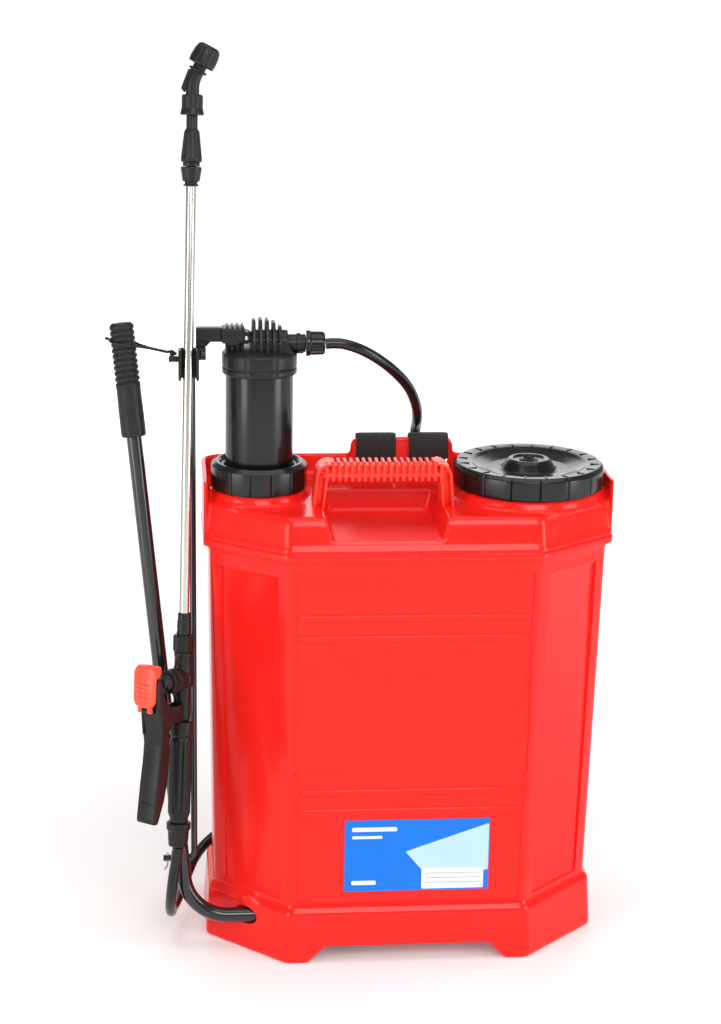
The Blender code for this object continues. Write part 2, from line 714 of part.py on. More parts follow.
def make_rod(pivot):
    crank = lever_point(CRANK_Z)
    top = Vector((ROD_X, ARM_Y, ROD_TOP_Z))
    corner = Vector((ROD_X, crank.y, crank.z))
    end = Vector((-228.5, crank.y, crank.z))
    path = [top, *fillet(top, corner, end, 6, 4), end]
    rod = tube("connecting_rod", path, ROD_R, black_steel, resolution=2)
    x, y, z = -224.6, crank.y, crank.z
    cut(rod, at(disc("cotter_hole", 1.5, -6, 6, steps=8), (x, y, z)))
    cotter = tube("rod_cotter", [(x, y, z + 6), (x, y, z - 6), (x - 0.8, y, z - 9), (x - 2.6, y, z - 12)],
                  1.1, bright_steel, resolution=1)
    washer = ring("rod_washer", ROD_R + 0.4, 6.5, 0, 1.4, bright_steel, 14)
    at(washer, (-220.8, y, z), (1, 0, 0))
    for obj in (rod, cotter, washer):
        hold(obj, pivot)


lever_pivot = empty("lever_axis", (LEVER_CORNER.x, *AXLE_AT))
make_lever(lever_pivot)
keeper_slide = empty("keeper_axis", lever_point(577), parent=lever_pivot)
make_keeper(keeper_slide)
rod_pivot = empty("rod_axis", (ROD_X, *lever_point(CRANK_Z).yz), parent=lever_pivot)
make_rod(rod_pivot)


# ---------------------------------------------------------------- lance and nozzle


def frame_along(origin, direction, turn=0.0):
    """A frame whose Z runs along a direction, and whose X is the world's, turned about it."""
    z_axis = Vector(direction).normalized()
    x_axis = (Vector((1, 0, 0)) - z_axis * z_axis.x).normalized()
    x_axis.rotate(Matrix.Rotation(turn, 3, z_axis))
    axes = Matrix((x_axis, z_axis.cross(x_axis), z_axis)).transposed()
    return Matrix.Translation(Vector(origin) * MM) @ axes.to_4x4()


LANCE_FRAME = frame_along(LANCE_FOOT, LANCE_DIR)
GUN_FRAME = frame_along(LANCE_FOOT, LANCE_FOOT - GUN_TAIL, GUN_TURN)
CAP_DIR = Vector((0.465, 0.08, 0.882)).normalized()
ELBOW_START = 478.5
ELBOW_CORNER = 504.0
CAP_BASE = 17.0
CAP_LENGTH = 19.0


def on_lance(obj):
    return at(obj, (0, 0, 0), matrix=LANCE_FRAME)


def lance_point(s):
    return LANCE_FOOT + LANCE_DIR * s


def make_lance(slide):
    tube_part = on_lance(ring("lance_tube", 3.6, TUBE_R, 2, TUBE_LENGTH, bright_steel, 16))
    ferrule = on_lance(turned("gun_ferrule", [
        (4.8, 26), (6, 26), (5.9, 9), (6.6, 6), (4.8, 6),
    ], black_matte, 16))
    nut = on_lance(turned("lance_gland_nut", [
        (4.8, 429), (9.3, 429), (9.2, 427), (7.7, 416.5), (5.4, 416), (5.4, 413.6), (7, 413.4),
        (7, 412), (4.8, 412),
    ], black_matte, 16))
    gland = on_lance(turned("lance_gland", [
        (2.5, 477.5), (5, 477.5), (5, 462), (6.8, 460), (9.4, 436), (9.4, 433.6), (7.6, 433),
        (7.6, 429.3), (4.4, 429.3), (4.4, 419), (2.5, 419),
    ], black_matte, 16))
    collar = on_lance(turned("elbow_nut", [
        (6.5, 492), (9.5, 491), (9.5, 478), (10.6, 475), (10.6, 474), (5.4, 474), (5.4, 478), (6.5, 478),
    ], black_matte, 12))
    for obj in (tube_part, ferrule, nut, gland, collar):
        hold(obj, slide)


def make_nozzle(elbow_pivot, cap_pivot):
    corner = lance_point(ELBOW_CORNER)
    tip = corner + CAP_DIR * (CAP_BASE + 4)
    path = [lance_point(ELBOW_START), *fillet(lance_point(ELBOW_START), corner, tip, 30, 4), tip]
    elbow = tube("nozzle_elbow", path, 6, black_matte, resolution=3)
    join(elbow, at(disc("elbow_flange", 8.6, 9, 11.2, steps=16), corner, CAP_DIR))
    cap = turned("nozzle_cap", [
        (0, CAP_LENGTH), (8, CAP_LENGTH), (10.6, CAP_LENGTH - 2.5), (12, 6), (11.6, 0), (9.4, 0),
        (8.4, 6.5), (0, 6.5),
    ], black_matte, 20, closed=False)
    at(cap, corner + CAP_DIR * (CAP_BASE - 2), CAP_DIR)
    cut(cap, at(disc("spray_hole", 0.8, 0, 30, steps=8), corner + CAP_DIR * CAP_BASE, CAP_DIR))
    hold(elbow, elbow_pivot)
    hold(cap, cap_pivot)


lance_slide = empty("lance_slide_axis", LANCE_FOOT)
make_lance(lance_slide)
elbow_turn = empty("elbow_axis", lance_point(ELBOW_START), parent=lance_slide)
cap_turn = empty("nozzle_cap_axis", lance_point(ELBOW_CORNER) + CAP_DIR * CAP_BASE, parent=elbow_turn)
make_nozzle(elbow_turn, cap_turn)


# ---------------------------------------------------------------- gun and trigger

TRIGGER_AT = (-25.0, 0.0, -66.7)
VALVE_Z = -42.0
LOCK_AT = (-52.5, 0.0, -57.0)
PAD_OUTER = [(-47, -60), (-41.5, -92), (-46, -130), (-50, -172)]
PAD_INNER = [(-41, -173), (-30, -135), (-27, -95), (-34, -62)]


def on_gun(obj):
    return at(obj, (0, 0, 0), matrix=GUN_FRAME)


def cross_pin(name, x, z, low, high, radius, look=None, steps=12):
    """A cylinder across the gun, along the gun's own Y."""
    return on_gun(along(name, (x, low, z), (x, high, z), radius, look, steps))


def gun_x(name, z, low, high, radius, look=None, steps=16):
    """A cylinder along the gun's own X."""
    return on_gun(along(name, (low, 0, z), (high, 0, z), radius, look, steps))


def make_gun(slide):
    nut = on_gun(ring("gun_nut", 5.7, 10.3, -10, 5.6, black_matte, 6))
    body = on_gun(turned("gun_body", [
        (2.5, -10.3), (8.6, -10.3), (8.6, -14), (8.1, -15), (8.1, -74), (6, -74.3), (6, -171),
        (2.5, -171),
    ], black_matte, 20))
    x, _, z = TRIGGER_AT
    fork = [(-6, -58), (x + 2, -60), (x - 4.5, z + 2), (x - 4.5, z - 3), (x + 2, -73), (-6, -74)]
    join(body, gun_x("valve_drum", VALVE_Z, -16, 4, 10.5, steps=20),
         on_gun(prism("fork_near", fork, -7, -4, axis="Y")),
         on_gun(prism("fork_far", fork, 4, 7, axis="Y")))
    cut(body, gun_x("drum_bore", VALVE_Z, -18, -4.5, 6.2),
        cross_pin("fork_hole", x, z, -10, 10, 2.35))
    cap = on_gun(at(ring("valve_cap", 2.5, 5.8, 0, 1.2, black_gloss, 16), (-16.2, 0, VALVE_Z), (1, 0, 0)))
    pin = cross_pin("trigger_pin", x, z, -8.5, 8.5, 2, bright_steel)
    grip = on_gun(turned("gun_grip", [
        (6.3, -75), (7.8, -75), (7.8, -89), (10.4, -93), (10.4, -163), (8.6, -167), (8.6, -171.4),
        (6.3, -171.4),
    ], black_matte, 20))
    hose_nut = on_gun(turned("gun_hose_nut", [
        (5.4, -171.7), (11.4, -171.7), (11.4, -178.5), (9.9, -179.5), (8.9, -194.4), (5.4, -194.4),
    ], black_matte, 12))
    for obj in (nut, body, cap, pin, grip, hose_nut):
        hold(obj, slide)


def make_trigger(trigger_pivot, stem_slide, lock_pivot):
    x, _, z = TRIGGER_AT
    pad = on_gun(prism("trigger_lever", PAD_OUTER + PAD_INNER, -9.5, 9.5, black_matte, axis="Y"))
    inset = [(a + 3, b) for a, b in PAD_OUTER]
    inset[0], inset[-1] = (-43.6, -64), (-46.6, -168.5)
    cut(pad, on_gun(prism("pad_channel", inset + [(-34, -178), (-20, -135), (-18, -95), (-24, -64)],
                          -6.8, 6.8, axis="Y")))
    web = [(-44.5, -66), (-47, -60), (-47.5, -34), (-43.2, -33), (-37, -57), (x + 1, z + 5.5),
           (x + 5, z + 2), (x + 5, z - 2), (x + 1, z - 5.5), (-38, -80)]
    join(pad, on_gun(prism("trigger_web", web, -3.5, 3.5, axis="Y")),
         on_gun(box("lock_knuckle", (-49.2, -3, -61), (-46, 3, -53))))
    cut(pad, cross_pin("trigger_hole", x, z, -10, 10, 2.35))
    stem = gun_x("valve_stem", VALVE_Z, -40.2, -7, 2, bright_steel, 12)
    join(stem, gun_x("stem_flange", VALVE_Z, -8.5, -6.5, 4.8, steps=12))
    lock = on_gun(box("trigger_lock", (-56, -12, -59), (-51, 12, -20), orange_plastic, edge=1.2))
    join(lock, on_gun(box("lock_hood", (-54, -11.6, -30.5), (-41, 11.6, -20.6), edge=1)))
    hold(pad, trigger_pivot)
    hold(stem, stem_slide)
    hold(lock, lock_pivot)


def spring(name, start, end, radius, wire, turns, look):
    """A compression spring along the gun's X."""
    steps = 10
    points = []
    for i in range(turns * steps + 1):
        a = 2 * math.pi * i / steps
        x = start + (end - start) * i / (turns * steps)
        points.append((x, radius * math.cos(a), VALVE_Z + radius * math.sin(a)))
    return on_gun(tube(name, points, wire, look, resolution=0))


def gun_empty(name, place, parent):
    made = empty(name, (0, 0, 0))
    made.matrix_world = GUN_FRAME @ Matrix.Translation(Vector(place) * MM)
    hold(made, parent)
    return made


make_gun(lance_slide)
trigger_axis = gun_empty("trigger_axis", TRIGGER_AT, lance_slide)
stem_axis = gun_empty("valve_stem_axis", (-24, 0, VALVE_Z), lance_slide)
lock_axis = gun_empty("lock_axis", LOCK_AT, trigger_axis)
make_trigger(trigger_axis, stem_axis, lock_axis)
hold(spring("valve_spring", -11.4, -9.0, 4, 0.35, 3, bright_steel), stem_axis)


# ---------------------------------------------------------------- hose


def make_hose():
    """One hose from the pump to the gun, in two stretches that meet behind the tank."""
    for name, route in (("hose_upper", HOSE_UPPER), ("hose_lower", HOSE_LOWER)):
        tube(name, smooth_path(route, 22), HOSE_R, hose_rubber, resolution=2)


make_hose()


# ---------------------------------------------------------------- straps


def strap_route(side, top_x):
    """(x, y, z, half width, thickness) down a strap: through the slot, over the lug, then the
    shoulder pad and the lower webbing."""
    wrap = [(88.8, 447.5), (82, 447.5), (77.2, 449.5), (75.8, 453), (75.8, 464), (77.6, 470),
            (82, 472.6), (87.6, 470.6), (91, 464), (92, 450), (92, 432)]
    route = [(top_x, y, z, WEB_HALF, 1.8) for y, z in wrap]
    pad = [(424, 0.04, WEB_HALF, 2), (410, 0.22, PAD_HALF - 3, 8), (395, 0.36, PAD_HALF, 9),
           (330, 0.6, PAD_HALF, 9), (245, 0.8, PAD_HALF, 9), (228, 0.83, PAD_HALF - 3, 8),
           (216, 0.85, 13, 2), (190, 0.88, 12.5, 1.8), (70, 1, 12.5, 1.8), (50, 1, 12.5, 1.8),
           (32, 1, 12.5, 1.8)]
    low_x = side * 80
    for z, t, half, thick in pad:
        y = 92.2 if z > 100 else 89.2
        route.append((top_x + (low_x - top_x) * t, y, z, half, thick))
    return route


def make_strap(name, side, top_x):
    route = strap_route(side, top_x)
    rings = []
    for i, (x, y, z, half, thick) in enumerate(route):
        before, after = route[max(0, i - 1)], route[min(len(route) - 1, i + 1)]
        run = Vector((0, after[1] - before[1], after[2] - before[2])).normalized()
        normal = Vector((0, -run.z, run.y)) * thick / 2
        place = Vector((x, y, z))
        rings.append([place + Vector((u * half, 0, 0)) + normal * v
                      for u, v in ((-1, -1), (1, -1), (1, 1), (-1, 1))])
    loft(name, rings, webbing)


def make_strap_fittings(label, side, top_x):
    x = top_x + (side * 80 - top_x) * 0.88
    buckle = box(f"strap_buckle_{label}", (x - 17, 88.4, 184), (x + 17, 96, 204), black_matte, edge=1)
    cut(buckle, box(f"buckle_slot_{label}", (x - 14.2, 90.6, 170), (x + 14.2, 93.8, 220)))
    x = side * 80
    anchor = box(f"strap_anchor_{label}", (x - 18, TANK_BACK + GAP, 28), (x + 18, 92.5, 46), black_matte,
                 edge=1)
    cut(anchor, box(f"anchor_slot_{label}", (x - 14.5, 87.4, 20), (x + 14.5, 91, 60)))


for label, side, top_x in (("left", -1, STRAP_X[0]), ("right", 1, STRAP_X[1])):
    make_strap(f"strap_{label}", side, top_x)
    make_strap_fittings(label, side, top_x)


# ---------------------------------------------------------------- place


def place():
    """Moves the whole object so that the middle of its footprint is at the origin."""
    bpy.context.view_layer.update()
    origin = empty("sprayer_origin", (0, 0, 0))
    for obj in list(bpy.data.objects):
        if obj.parent is None and obj is not origin:
            obj.parent = origin
    origin.location = (-CENTRE[0] * MM, -CENTRE[1] * MM, 0)
    bpy.context.view_layer.update()


place()
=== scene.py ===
import json
import math

import bmesh
import bpy
from mathutils import Matrix, Vector

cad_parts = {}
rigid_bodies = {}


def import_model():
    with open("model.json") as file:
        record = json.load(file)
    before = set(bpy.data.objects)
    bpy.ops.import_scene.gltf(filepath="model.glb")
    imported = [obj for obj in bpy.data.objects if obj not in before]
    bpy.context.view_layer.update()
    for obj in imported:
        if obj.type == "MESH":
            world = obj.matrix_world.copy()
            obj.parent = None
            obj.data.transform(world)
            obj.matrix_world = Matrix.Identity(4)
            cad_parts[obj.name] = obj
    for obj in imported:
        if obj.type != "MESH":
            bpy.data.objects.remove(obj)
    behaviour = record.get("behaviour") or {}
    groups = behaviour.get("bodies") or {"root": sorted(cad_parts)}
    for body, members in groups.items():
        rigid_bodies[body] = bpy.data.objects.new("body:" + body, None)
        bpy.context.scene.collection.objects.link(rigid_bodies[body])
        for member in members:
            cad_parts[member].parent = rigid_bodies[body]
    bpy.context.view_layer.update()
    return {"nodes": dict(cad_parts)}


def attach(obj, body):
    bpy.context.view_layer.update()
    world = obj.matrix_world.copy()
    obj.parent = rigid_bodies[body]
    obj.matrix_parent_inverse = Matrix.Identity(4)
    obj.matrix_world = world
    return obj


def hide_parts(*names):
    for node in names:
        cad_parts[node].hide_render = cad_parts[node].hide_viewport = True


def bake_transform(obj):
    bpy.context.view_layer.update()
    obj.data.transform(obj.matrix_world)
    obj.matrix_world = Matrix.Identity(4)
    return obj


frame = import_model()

# Lengths are in millimetres in the tank's own axes until mesh_piece() or world() turns them into
# the frame's metres: X across the back, Y from the tank's front to the wearer, Z up.
MM = 0.001
ORIGIN = Vector((44.3, 5.8, 0.0))
TO_FRAME = Matrix.Scale(MM, 4) @ Matrix.Translation(ORIGIN)


def world(p):
    return (Vector(p) + ORIGIN) * MM


# ------------------------------------------------------------------ camera

CAMERA_AT = (-236.1, -1964.3, 979.7)
CAMERA_TO = (-66.3, -230.0, 483.6)
CAMERA_ROLL = math.radians(1.08)

camera = bpy.data.objects.new("camera", bpy.data.cameras.new("camera"))
bpy.context.scene.collection.objects.link(camera)
camera.data.lens = 77.72
camera.data.sensor_width = 36.0
aim = world(CAMERA_TO) - world(CAMERA_AT)
camera.matrix_world = (Matrix.Translation(world(CAMERA_AT)) @ aim.to_track_quat("-Z",
                                                                                "Y").to_matrix().to_4x4()
                       @ Matrix.Rotation(CAMERA_ROLL, 4, "Z"))
bpy.context.scene.camera = camera


# ------------------------------------------------------------------ materials


class Nodes:
    """A short way to lay out one material's nodes."""

    def __init__(self, name):
        self.material = bpy.data.materials.new(name)
        self.material.use_nodes = True
        self.tree = self.material.node_tree
        self.shader = self.tree.nodes["Principled BSDF"]
        self.coords = self.tree.nodes.new("ShaderNodeTexCoord").outputs["Object"]

    def add(self, kind, **values):
        made = self.tree.nodes.new("ShaderNode" + kind)
        for key, value in values.items():
            if hasattr(made, key):
                setattr(made, key, value)
            else:
                self.feed(made.inputs[key.replace("_", " ")], value)
        return made

    def feed(self, socket, value):
        if isinstance(value, bpy.types.NodeSocket):
            self.tree.links.new(value, socket)
        else:
            socket.default_value = value

    def scaled(self, stretch):
        mapping = self.add("Mapping", Vector=self.coords)
        mapping.inputs["Scale"].default_value = stretch
        return mapping.outputs["Vector"]

    def noise(self, scale, detail=3.0, vector=None, rough=0.5):
        made = self.add("TexNoise", Vector=vector or self.coords, Scale=scale, Detail=detail, Roughness=rough)
        return made.outputs["Fac"]

    def span(self, value, low, high, from_low=0.25, from_high=0.75):
        made = self.add("MapRange", Value=value)
        made.inputs["From Min"].default_value = from_low
        made.inputs["From Max"].default_value = from_high
        made.inputs["To Min"].default_value = low
        made.inputs["To Max"].default_value = high
        return made.outputs["Result"]

    def math(self, operation, a, b=0.0):
        made = self.tree.nodes.new("ShaderNodeMath")
        made.operation = operation
        self.feed(made.inputs[0], a)
        self.feed(made.inputs[1], b)
        return made.outputs[0]

    def mix(self, factor, a, b):
        made = self.tree.nodes.new("ShaderNodeMix")
        made.data_type = "RGBA"
        self.feed(made.inputs[0], factor)
        self.feed(made.inputs[6], (*a, 1.0) if isinstance(a, tuple) else a)
        self.feed(made.inputs[7], (*b, 1.0) if isinstance(b, tuple) else b)
        return made.outputs[2]

    def bump(self, height, strength, distance, normal=None):
        made = self.add("Bump", Height=height, Strength=strength, Distance=distance)
        if normal is not None:
            self.feed(made.inputs["Normal"], normal)
        return made.outputs["Normal"]


def shade(colour, factor):
    return tuple(min(1.0, c * factor) for c in colour)


def look(name, colour, rough, metal=0.0, tone=0.07, tone_scale=22.0, rough_span=0.05, grain=0.12,
         grain_scale=700.0, grain_depth=0.0002, stretch=(1, 1, 1), coat=0.0, waviness=0.0,
         specular=0.4, subsurface=0.0):
    n = Nodes(name)
    vector = n.scaled(stretch)
    n.feed(n.shader.inputs["Base Color"], n.mix(n.span(n.noise(tone_scale, 5.0, vector), 0.0, 1.0),
                                                shade(colour, 1 - tone), shade(colour, 1 + tone)))
    n.feed(n.shader.inputs["Roughness"], n.span(n.noise(tone_scale * 4, 6.0, vector, 0.6),
                                                rough - rough_span, rough + rough_span))
    normal = n.bump(n.noise(grain_scale, 4.0, vector), grain, grain_depth)
    if waviness:
        normal = n.bump(n.noise(14.0, 2.0), waviness, 0.004, normal)
    n.feed(n.shader.inputs["Normal"], normal)
    for socket, value in (("Metallic", metal), ("Coat Weight", coat), ("Sheen Weight", 0.0),
                          ("Coat Roughness", 0.06), ("Specular IOR Level", specular),
                          ("Subsurface Weight", subsurface)):
        n.shader.inputs[socket].default_value = value
    n.shader.inputs["Subsurface Radius"].default_value = (1.0, 0.25, 0.2)
    n.shader.inputs["Subsurface Scale"].default_value = 0.004
    return n.material


def weave_look(name, colour, warp, pick):
    """Woven webbing: fine ribs along the strap crossed by picks."""
    n = Nodes(name)
    bands = []
    for direction, period in (("X", warp), ("Z", pick)):
        wave = n.add("TexWave", wave_type="BANDS", bands_direction=direction, Vector=n.coords,
                     Scale=2 * math.pi / 20 / period, Distortion=0.6, Detail=2.0)
        wave.inputs["Detail Scale"].default_value = 3.0
        bands.append(wave.outputs["Fac"])
    cloth = n.math("MULTIPLY", bands[0], n.span(bands[1], 0.45, 1.0, 0.0, 1.0))
    fuzz = n.noise(1500.0, 2.0)
    n.feed(n.shader.inputs["Base Color"], n.mix(cloth, shade(colour, 0.6), shade(colour, 1.3)))
    n.feed(n.shader.inputs["Roughness"], n.span(fuzz, 0.72, 0.92))
    n.feed(n.shader.inputs["Normal"],
           n.bump(fuzz, 0.2, 0.0002, n.bump(cloth, 0.8, 0.0006)))
    n.shader.inputs["Sheen Weight"].default_value = 0.25
    n.shader.inputs["Sheen Roughness"].default_value = 0.5
    return n.material


RED = (0.82, 0.014, 0.010)
tank_red = look("tank_red", RED, 0.19, tone=0.03, rough_span=0.03, grain=0.05, grain_scale=420,
                waviness=0.04, specular=0.24, subsurface=0.04)
pocket_red = look("pocket_red", shade(RED, 0.97), 0.34, tone=0.05, rough_span=0.06, grain=0.45,
                  grain_scale=900, grain_depth=0.0005, specular=0.25, subsurface=0.05)
handle_red = look("handle_red", (0.93, 0.045, 0.026), 0.3, tone=0.04, rough_span=0.05, grain=0.12,
                  grain_scale=800, specular=0.25, subsurface=0.06)
black_gloss = look("black_gloss", (0.007, 0.007, 0.008), 0.2, tone=0.3, rough_span=0.07, grain=0.1,
                   grain_scale=600, waviness=0.03, specular=0.34)
black_satin = look("black_satin", (0.010, 0.009, 0.009), 0.36, tone=0.25, rough_span=0.07, grain=0.25,
                   grain_scale=1300, specular=0.28)
black_paint = look("black_paint", (0.010, 0.010, 0.011), 0.16, tone=0.2, rough_span=0.04, grain=0.06,
                   grain_scale=380, coat=0.5, waviness=0.04)
stainless = look("stainless", (0.56, 0.53, 0.485), 0.27, metal=1.0, tone=0.06, rough_span=0.04, grain=0.02,
                 grain_scale=300, stretch=(1, 1, 0.1))
zinc = look("zinc", (0.6, 0.6, 0.58), 0.3, metal=1.0, tone=0.12, rough_span=0.1, grain=0.15, grain_scale=900)
lock_red = look("lock_red", (0.93, 0.075, 0.035), 0.3, tone=0.05, rough_span=0.05, grain=0.12,
                grain_scale=900, subsurface=0.08)
rubber = look("rubber", (0.009, 0.009, 0.009), 0.48, tone=0.3, rough_span=0.1, grain=0.3, grain_scale=1500,
              specular=0.3)
hose_black = look("hose_black", (0.006, 0.006, 0.007), 0.18, tone=0.25, rough_span=0.06, grain=0.08,
                  grain_scale=500, waviness=0.06)
natural = look("natural", (0.78, 0.76, 0.7), 0.42, tone=0.05, rough_span=0.07, grain=0.15,
               grain_scale=900, subsurface=0.3)
film_blue = look("film_blue", (0.004, 0.17, 0.70), 0.32, tone=0.10, tone_scale=9, rough_span=0.05,
                 grain=0.05, grain_scale=900, specular=0.25)
film_pale = look("film_pale", (0.44, 0.66, 0.80), 0.32, tone=0.05, tone_scale=12, rough_span=0.05,
                 grain=0.05, grain_scale=900, specular=0.25)
film_white = look("film_white", (0.72, 0.74, 0.76), 0.4, tone=0.03, tone_scale=15, rough_span=0.05,
                  grain=0.08, grain_scale=1100)
film_ink = look("film_ink", (0.1, 0.13, 0.2), 0.45, tone=0.1, grain=0.05)
webbing = weave_look("webbing", (0.012, 0.012, 0.013), 0.0016, 0.0022)
pad_cloth = weave_look("pad_cloth", (0.014, 0.014, 0.015), 0.0028, 0.0028)


# ------------------------------------------------------------------ shapes

def to_bmesh(shape, clean=False):
    """Turns (vertices, faces) into a closed bmesh; a bmesh is handed back as it is."""
    if isinstance(shape, bmesh.types.BMesh):
        return shape
    bm = bmesh.new()
    rows = [bm.verts.new(v) for v in shape[0]]
    for face in shape[1]:
        try:
            bm.faces.new([rows[i] for i in face])
        except ValueError:
            pass
    bmesh.ops.remove_doubles(bm, verts=bm.verts, dist=1e-4)
    if clean:
        bmesh.ops.dissolve_degenerate(bm, edges=bm.edges, dist=1e-5)
    bmesh.ops.recalc_face_normals(bm, faces=bm.faces)
    return bm


def mesh_piece(name, shape, material, body, replaces=(), sharp=40.0):
    bm = to_bmesh(shape, clean=True)
    bm.transform(TO_FRAME)
    mesh = bpy.data.meshes.new(name)
    bm.to_mesh(mesh)
    bm.free()
    mesh.materials.append(material)
    mesh.shade_smooth()
    mesh.set_sharp_from_angle(angle=math.radians(sharp))
    obj = bpy.data.objects.new(name, mesh)
    bpy.context.scene.collection.objects.link(obj)
    return declare(obj, body, replaces)


def finish_piece(obj, name, materials, body, replaces, place=None, smooth=True, sharp=None):
    """Turns a shaping mesh in millimetres into a declared piece; place puts it in the tank's axes."""
    mesh = obj.data
    mesh.transform(TO_FRAME @ (place or Matrix.Identity(4)))
    for material in materials:
        mesh.materials.append(material)
    if smooth:
        mesh.shade_smooth()
    if sharp is not None:
        mesh.set_sharp_from_angle(angle=math.radians(sharp))
    obj.name = name
    return declare(obj, body, replaces)


def declare(obj, body, replaces=()):
    if body:
        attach(obj, body)
    if replaces:
        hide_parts(*replaces)
    return obj


def soften(points, radius=0.8, steps=3, closed=False):
    """Rounds every corner of a profile, as far as its neighbours leave room."""
    points = [Vector((p[0], p[1])) for p in points]
    out = []
    count = len(points)
    for i, corner in enumerate(points):
        if not closed and i in (0, count - 1):
            out.append(corner)
            continue
        a, b = points[i - 1], points[(i + 1) % count]
        u, v = a - corner, b - corner
        reach = min(radius, u.length * 0.45, v.length * 0.45)
        if reach < 0.05 or u.normalized().dot(v.normalized()) < -0.985:
            out.append(corner)
            continue
        first, last = corner + u.normalized() * reach, corner + v.normalized() * reach
        for k in range(steps + 1):
            t = k / steps
            out.append(first * (1 - t) ** 2 + corner * 2 * t * (1 - t) + last * t * t)
    return [(p.x, p.y) for p in out]


def lathe(profile, steps=72, closed=False, radius=0.8, shape=None):
    """Turns a softened profile about Z; shape(r, z, angle) may change the radius."""
    profile = soften(profile, radius, closed=closed)
    verts, faces = [], []
    for r, z in profile:
        for k in range(steps):
            a = 2 * math.pi * k / steps
            q = shape(r, z, a) if shape and r > 0 else r
            verts.append((q * math.cos(a), q * math.sin(a), z))
    rows = len(profile)
    for i in range(rows if closed else rows - 1):
        j = (i + 1) % rows
        for k in range(steps):
            m = (k + 1) % steps
            faces.append((i * steps + k, i * steps + m, j * steps + m, j * steps + k))
    return verts, faces


def pipe(points, radius, sides=20):
    """A tube along points; radius is a number or one for each point."""
    points = [Vector(p) for p in points]
    radii = radius if isinstance(radius, (list, tuple)) else [radius] * len(points)
    tangents = []
    for i in range(len(points)):
        tangents.append((points[min(i + 1, len(points) - 1)] - points[max(i - 1, 0)]).normalized())
    normal = tangents[0].orthogonal().normalized()
    verts, faces = [], []
    for i, (p, t, r) in enumerate(zip(points, tangents, radii)):
        normal = (normal - t * normal.dot(t)).normalized()
        side = t.cross(normal)
        for k in range(sides):
            a = 2 * math.pi * k / sides
            verts.append(p + (normal * math.cos(a) + side * math.sin(a)) * r)
        if i:
            for k in range(sides):
                m = (k + 1) % sides
                faces.append(((i - 1) * sides + k, (i - 1) * sides + m, i * sides + m, i * sides + k))
    faces.append(tuple(range(sides))[::-1])
    faces.append(tuple(range((len(points) - 1) * sides, len(points) * sides)))
    return verts, faces


def loft(rings):
    """A closed skin over rings of equal count."""
    size = len(rings[0])
    verts = [p for ring in rings for p in ring]
    faces = []
    for i in range(len(rings) - 1):
        for k in range(size):
            m = (k + 1) % size
            faces.append((i * size + k, i * size + m, (i + 1) * size + m, (i + 1) * size + k))
    faces += [tuple(range(size))[::-1], tuple(range((len(rings) - 1) * size, len(rings) * size))]
    return verts, faces


def prism(outline, low, high, axis="Z", edge=0.6):
    """An outline extruded along an axis, with rounded edges. Returns a bmesh."""
    place = {"Z": lambda u, v, w: (u, v, w), "Y": lambda u, v, w: (u, w, v), "X": lambda u, v,
             w: (w, u, v)}[axis]
    bm = bmesh.new()
    low_row = [bm.verts.new(place(u, v, low)) for u, v in outline]
    high_row = [bm.verts.new(place(u, v, high)) for u, v in outline]
    bm.faces.new(low_row)
    bm.faces.new(high_row)
    for i in range(len(outline)):
        j = (i + 1) % len(outline)
        bm.faces.new((low_row[i], low_row[j], high_row[j], high_row[i]))
    bmesh.ops.recalc_face_normals(bm, faces=bm.faces)
    if edge:
        bevel(bm, edge)
    return bm


BEVEL_ANGLE = 25.0


def bevel(bm, width, segments=2):
    sharp = math.radians(BEVEL_ANGLE)
    edges = [e for e in bm.edges if len(e.link_faces) == 2 and e.calc_face_angle(0) > sharp]
    bmesh.ops.bevel(bm, geom=edges, offset=width, segments=segments, profile=0.5, affect="EDGES",
                    clamp_overlap=True)


def block(low, high, edge=0.8):
    bm = bmesh.new()
    bmesh.ops.create_cube(bm, size=1.0)
    size = Vector(high) - Vector(low)
    bmesh.ops.scale(bm, vec=size, verts=bm.verts)
    bmesh.ops.translate(bm, vec=(Vector(high) + Vector(low)) / 2, verts=bm.verts)
    if edge:
        bevel(bm, min(edge, min(size) * 0.4), segments=3)
    return bm


def rod_between(a, b, radius, steps=32, edge=0.5):
    """A cylinder from a to b with softened ends, as (vertices, faces)."""
    a, b = Vector(a), Vector(b)
    length = (b - a).length
    turn = Vector((0, 0, 1)).rotation_difference(b - a).to_matrix().to_4x4()
    return moved(lathe([(0, length), (radius, length), (radius, 0), (0, 0)], steps, radius=edge),
                 Matrix.Translation(a) @ turn)


def moved(shape, matrix):
    if isinstance(shape, bmesh.types.BMesh):
        shape.transform(matrix)
        return shape
    return [matrix @ Vector(v) for v in shape[0]], shape[1]


def merge(*shapes):
    """Puts several shapes in one bmesh."""
    out = bmesh.new()
    for shape in shapes:
        shape = to_bmesh(shape)
        mesh = bpy.data.meshes.new("merge")
        shape.to_mesh(mesh)
        shape.free()
        out.from_mesh(mesh)
        bpy.data.meshes.remove(mesh)
    return out


def frame_along(origin, direction, turn=0.0):
    z_axis = Vector(direction).normalized()
    x_axis = (Vector((1, 0, 0)) - z_axis * z_axis.x).normalized()
    x_axis.rotate(Matrix.Rotation(turn, 3, z_axis))
    axes = Matrix((x_axis, z_axis.cross(x_axis), z_axis)).transposed()
    return Matrix.Translation(Vector(origin)) @ axes.to_4x4()


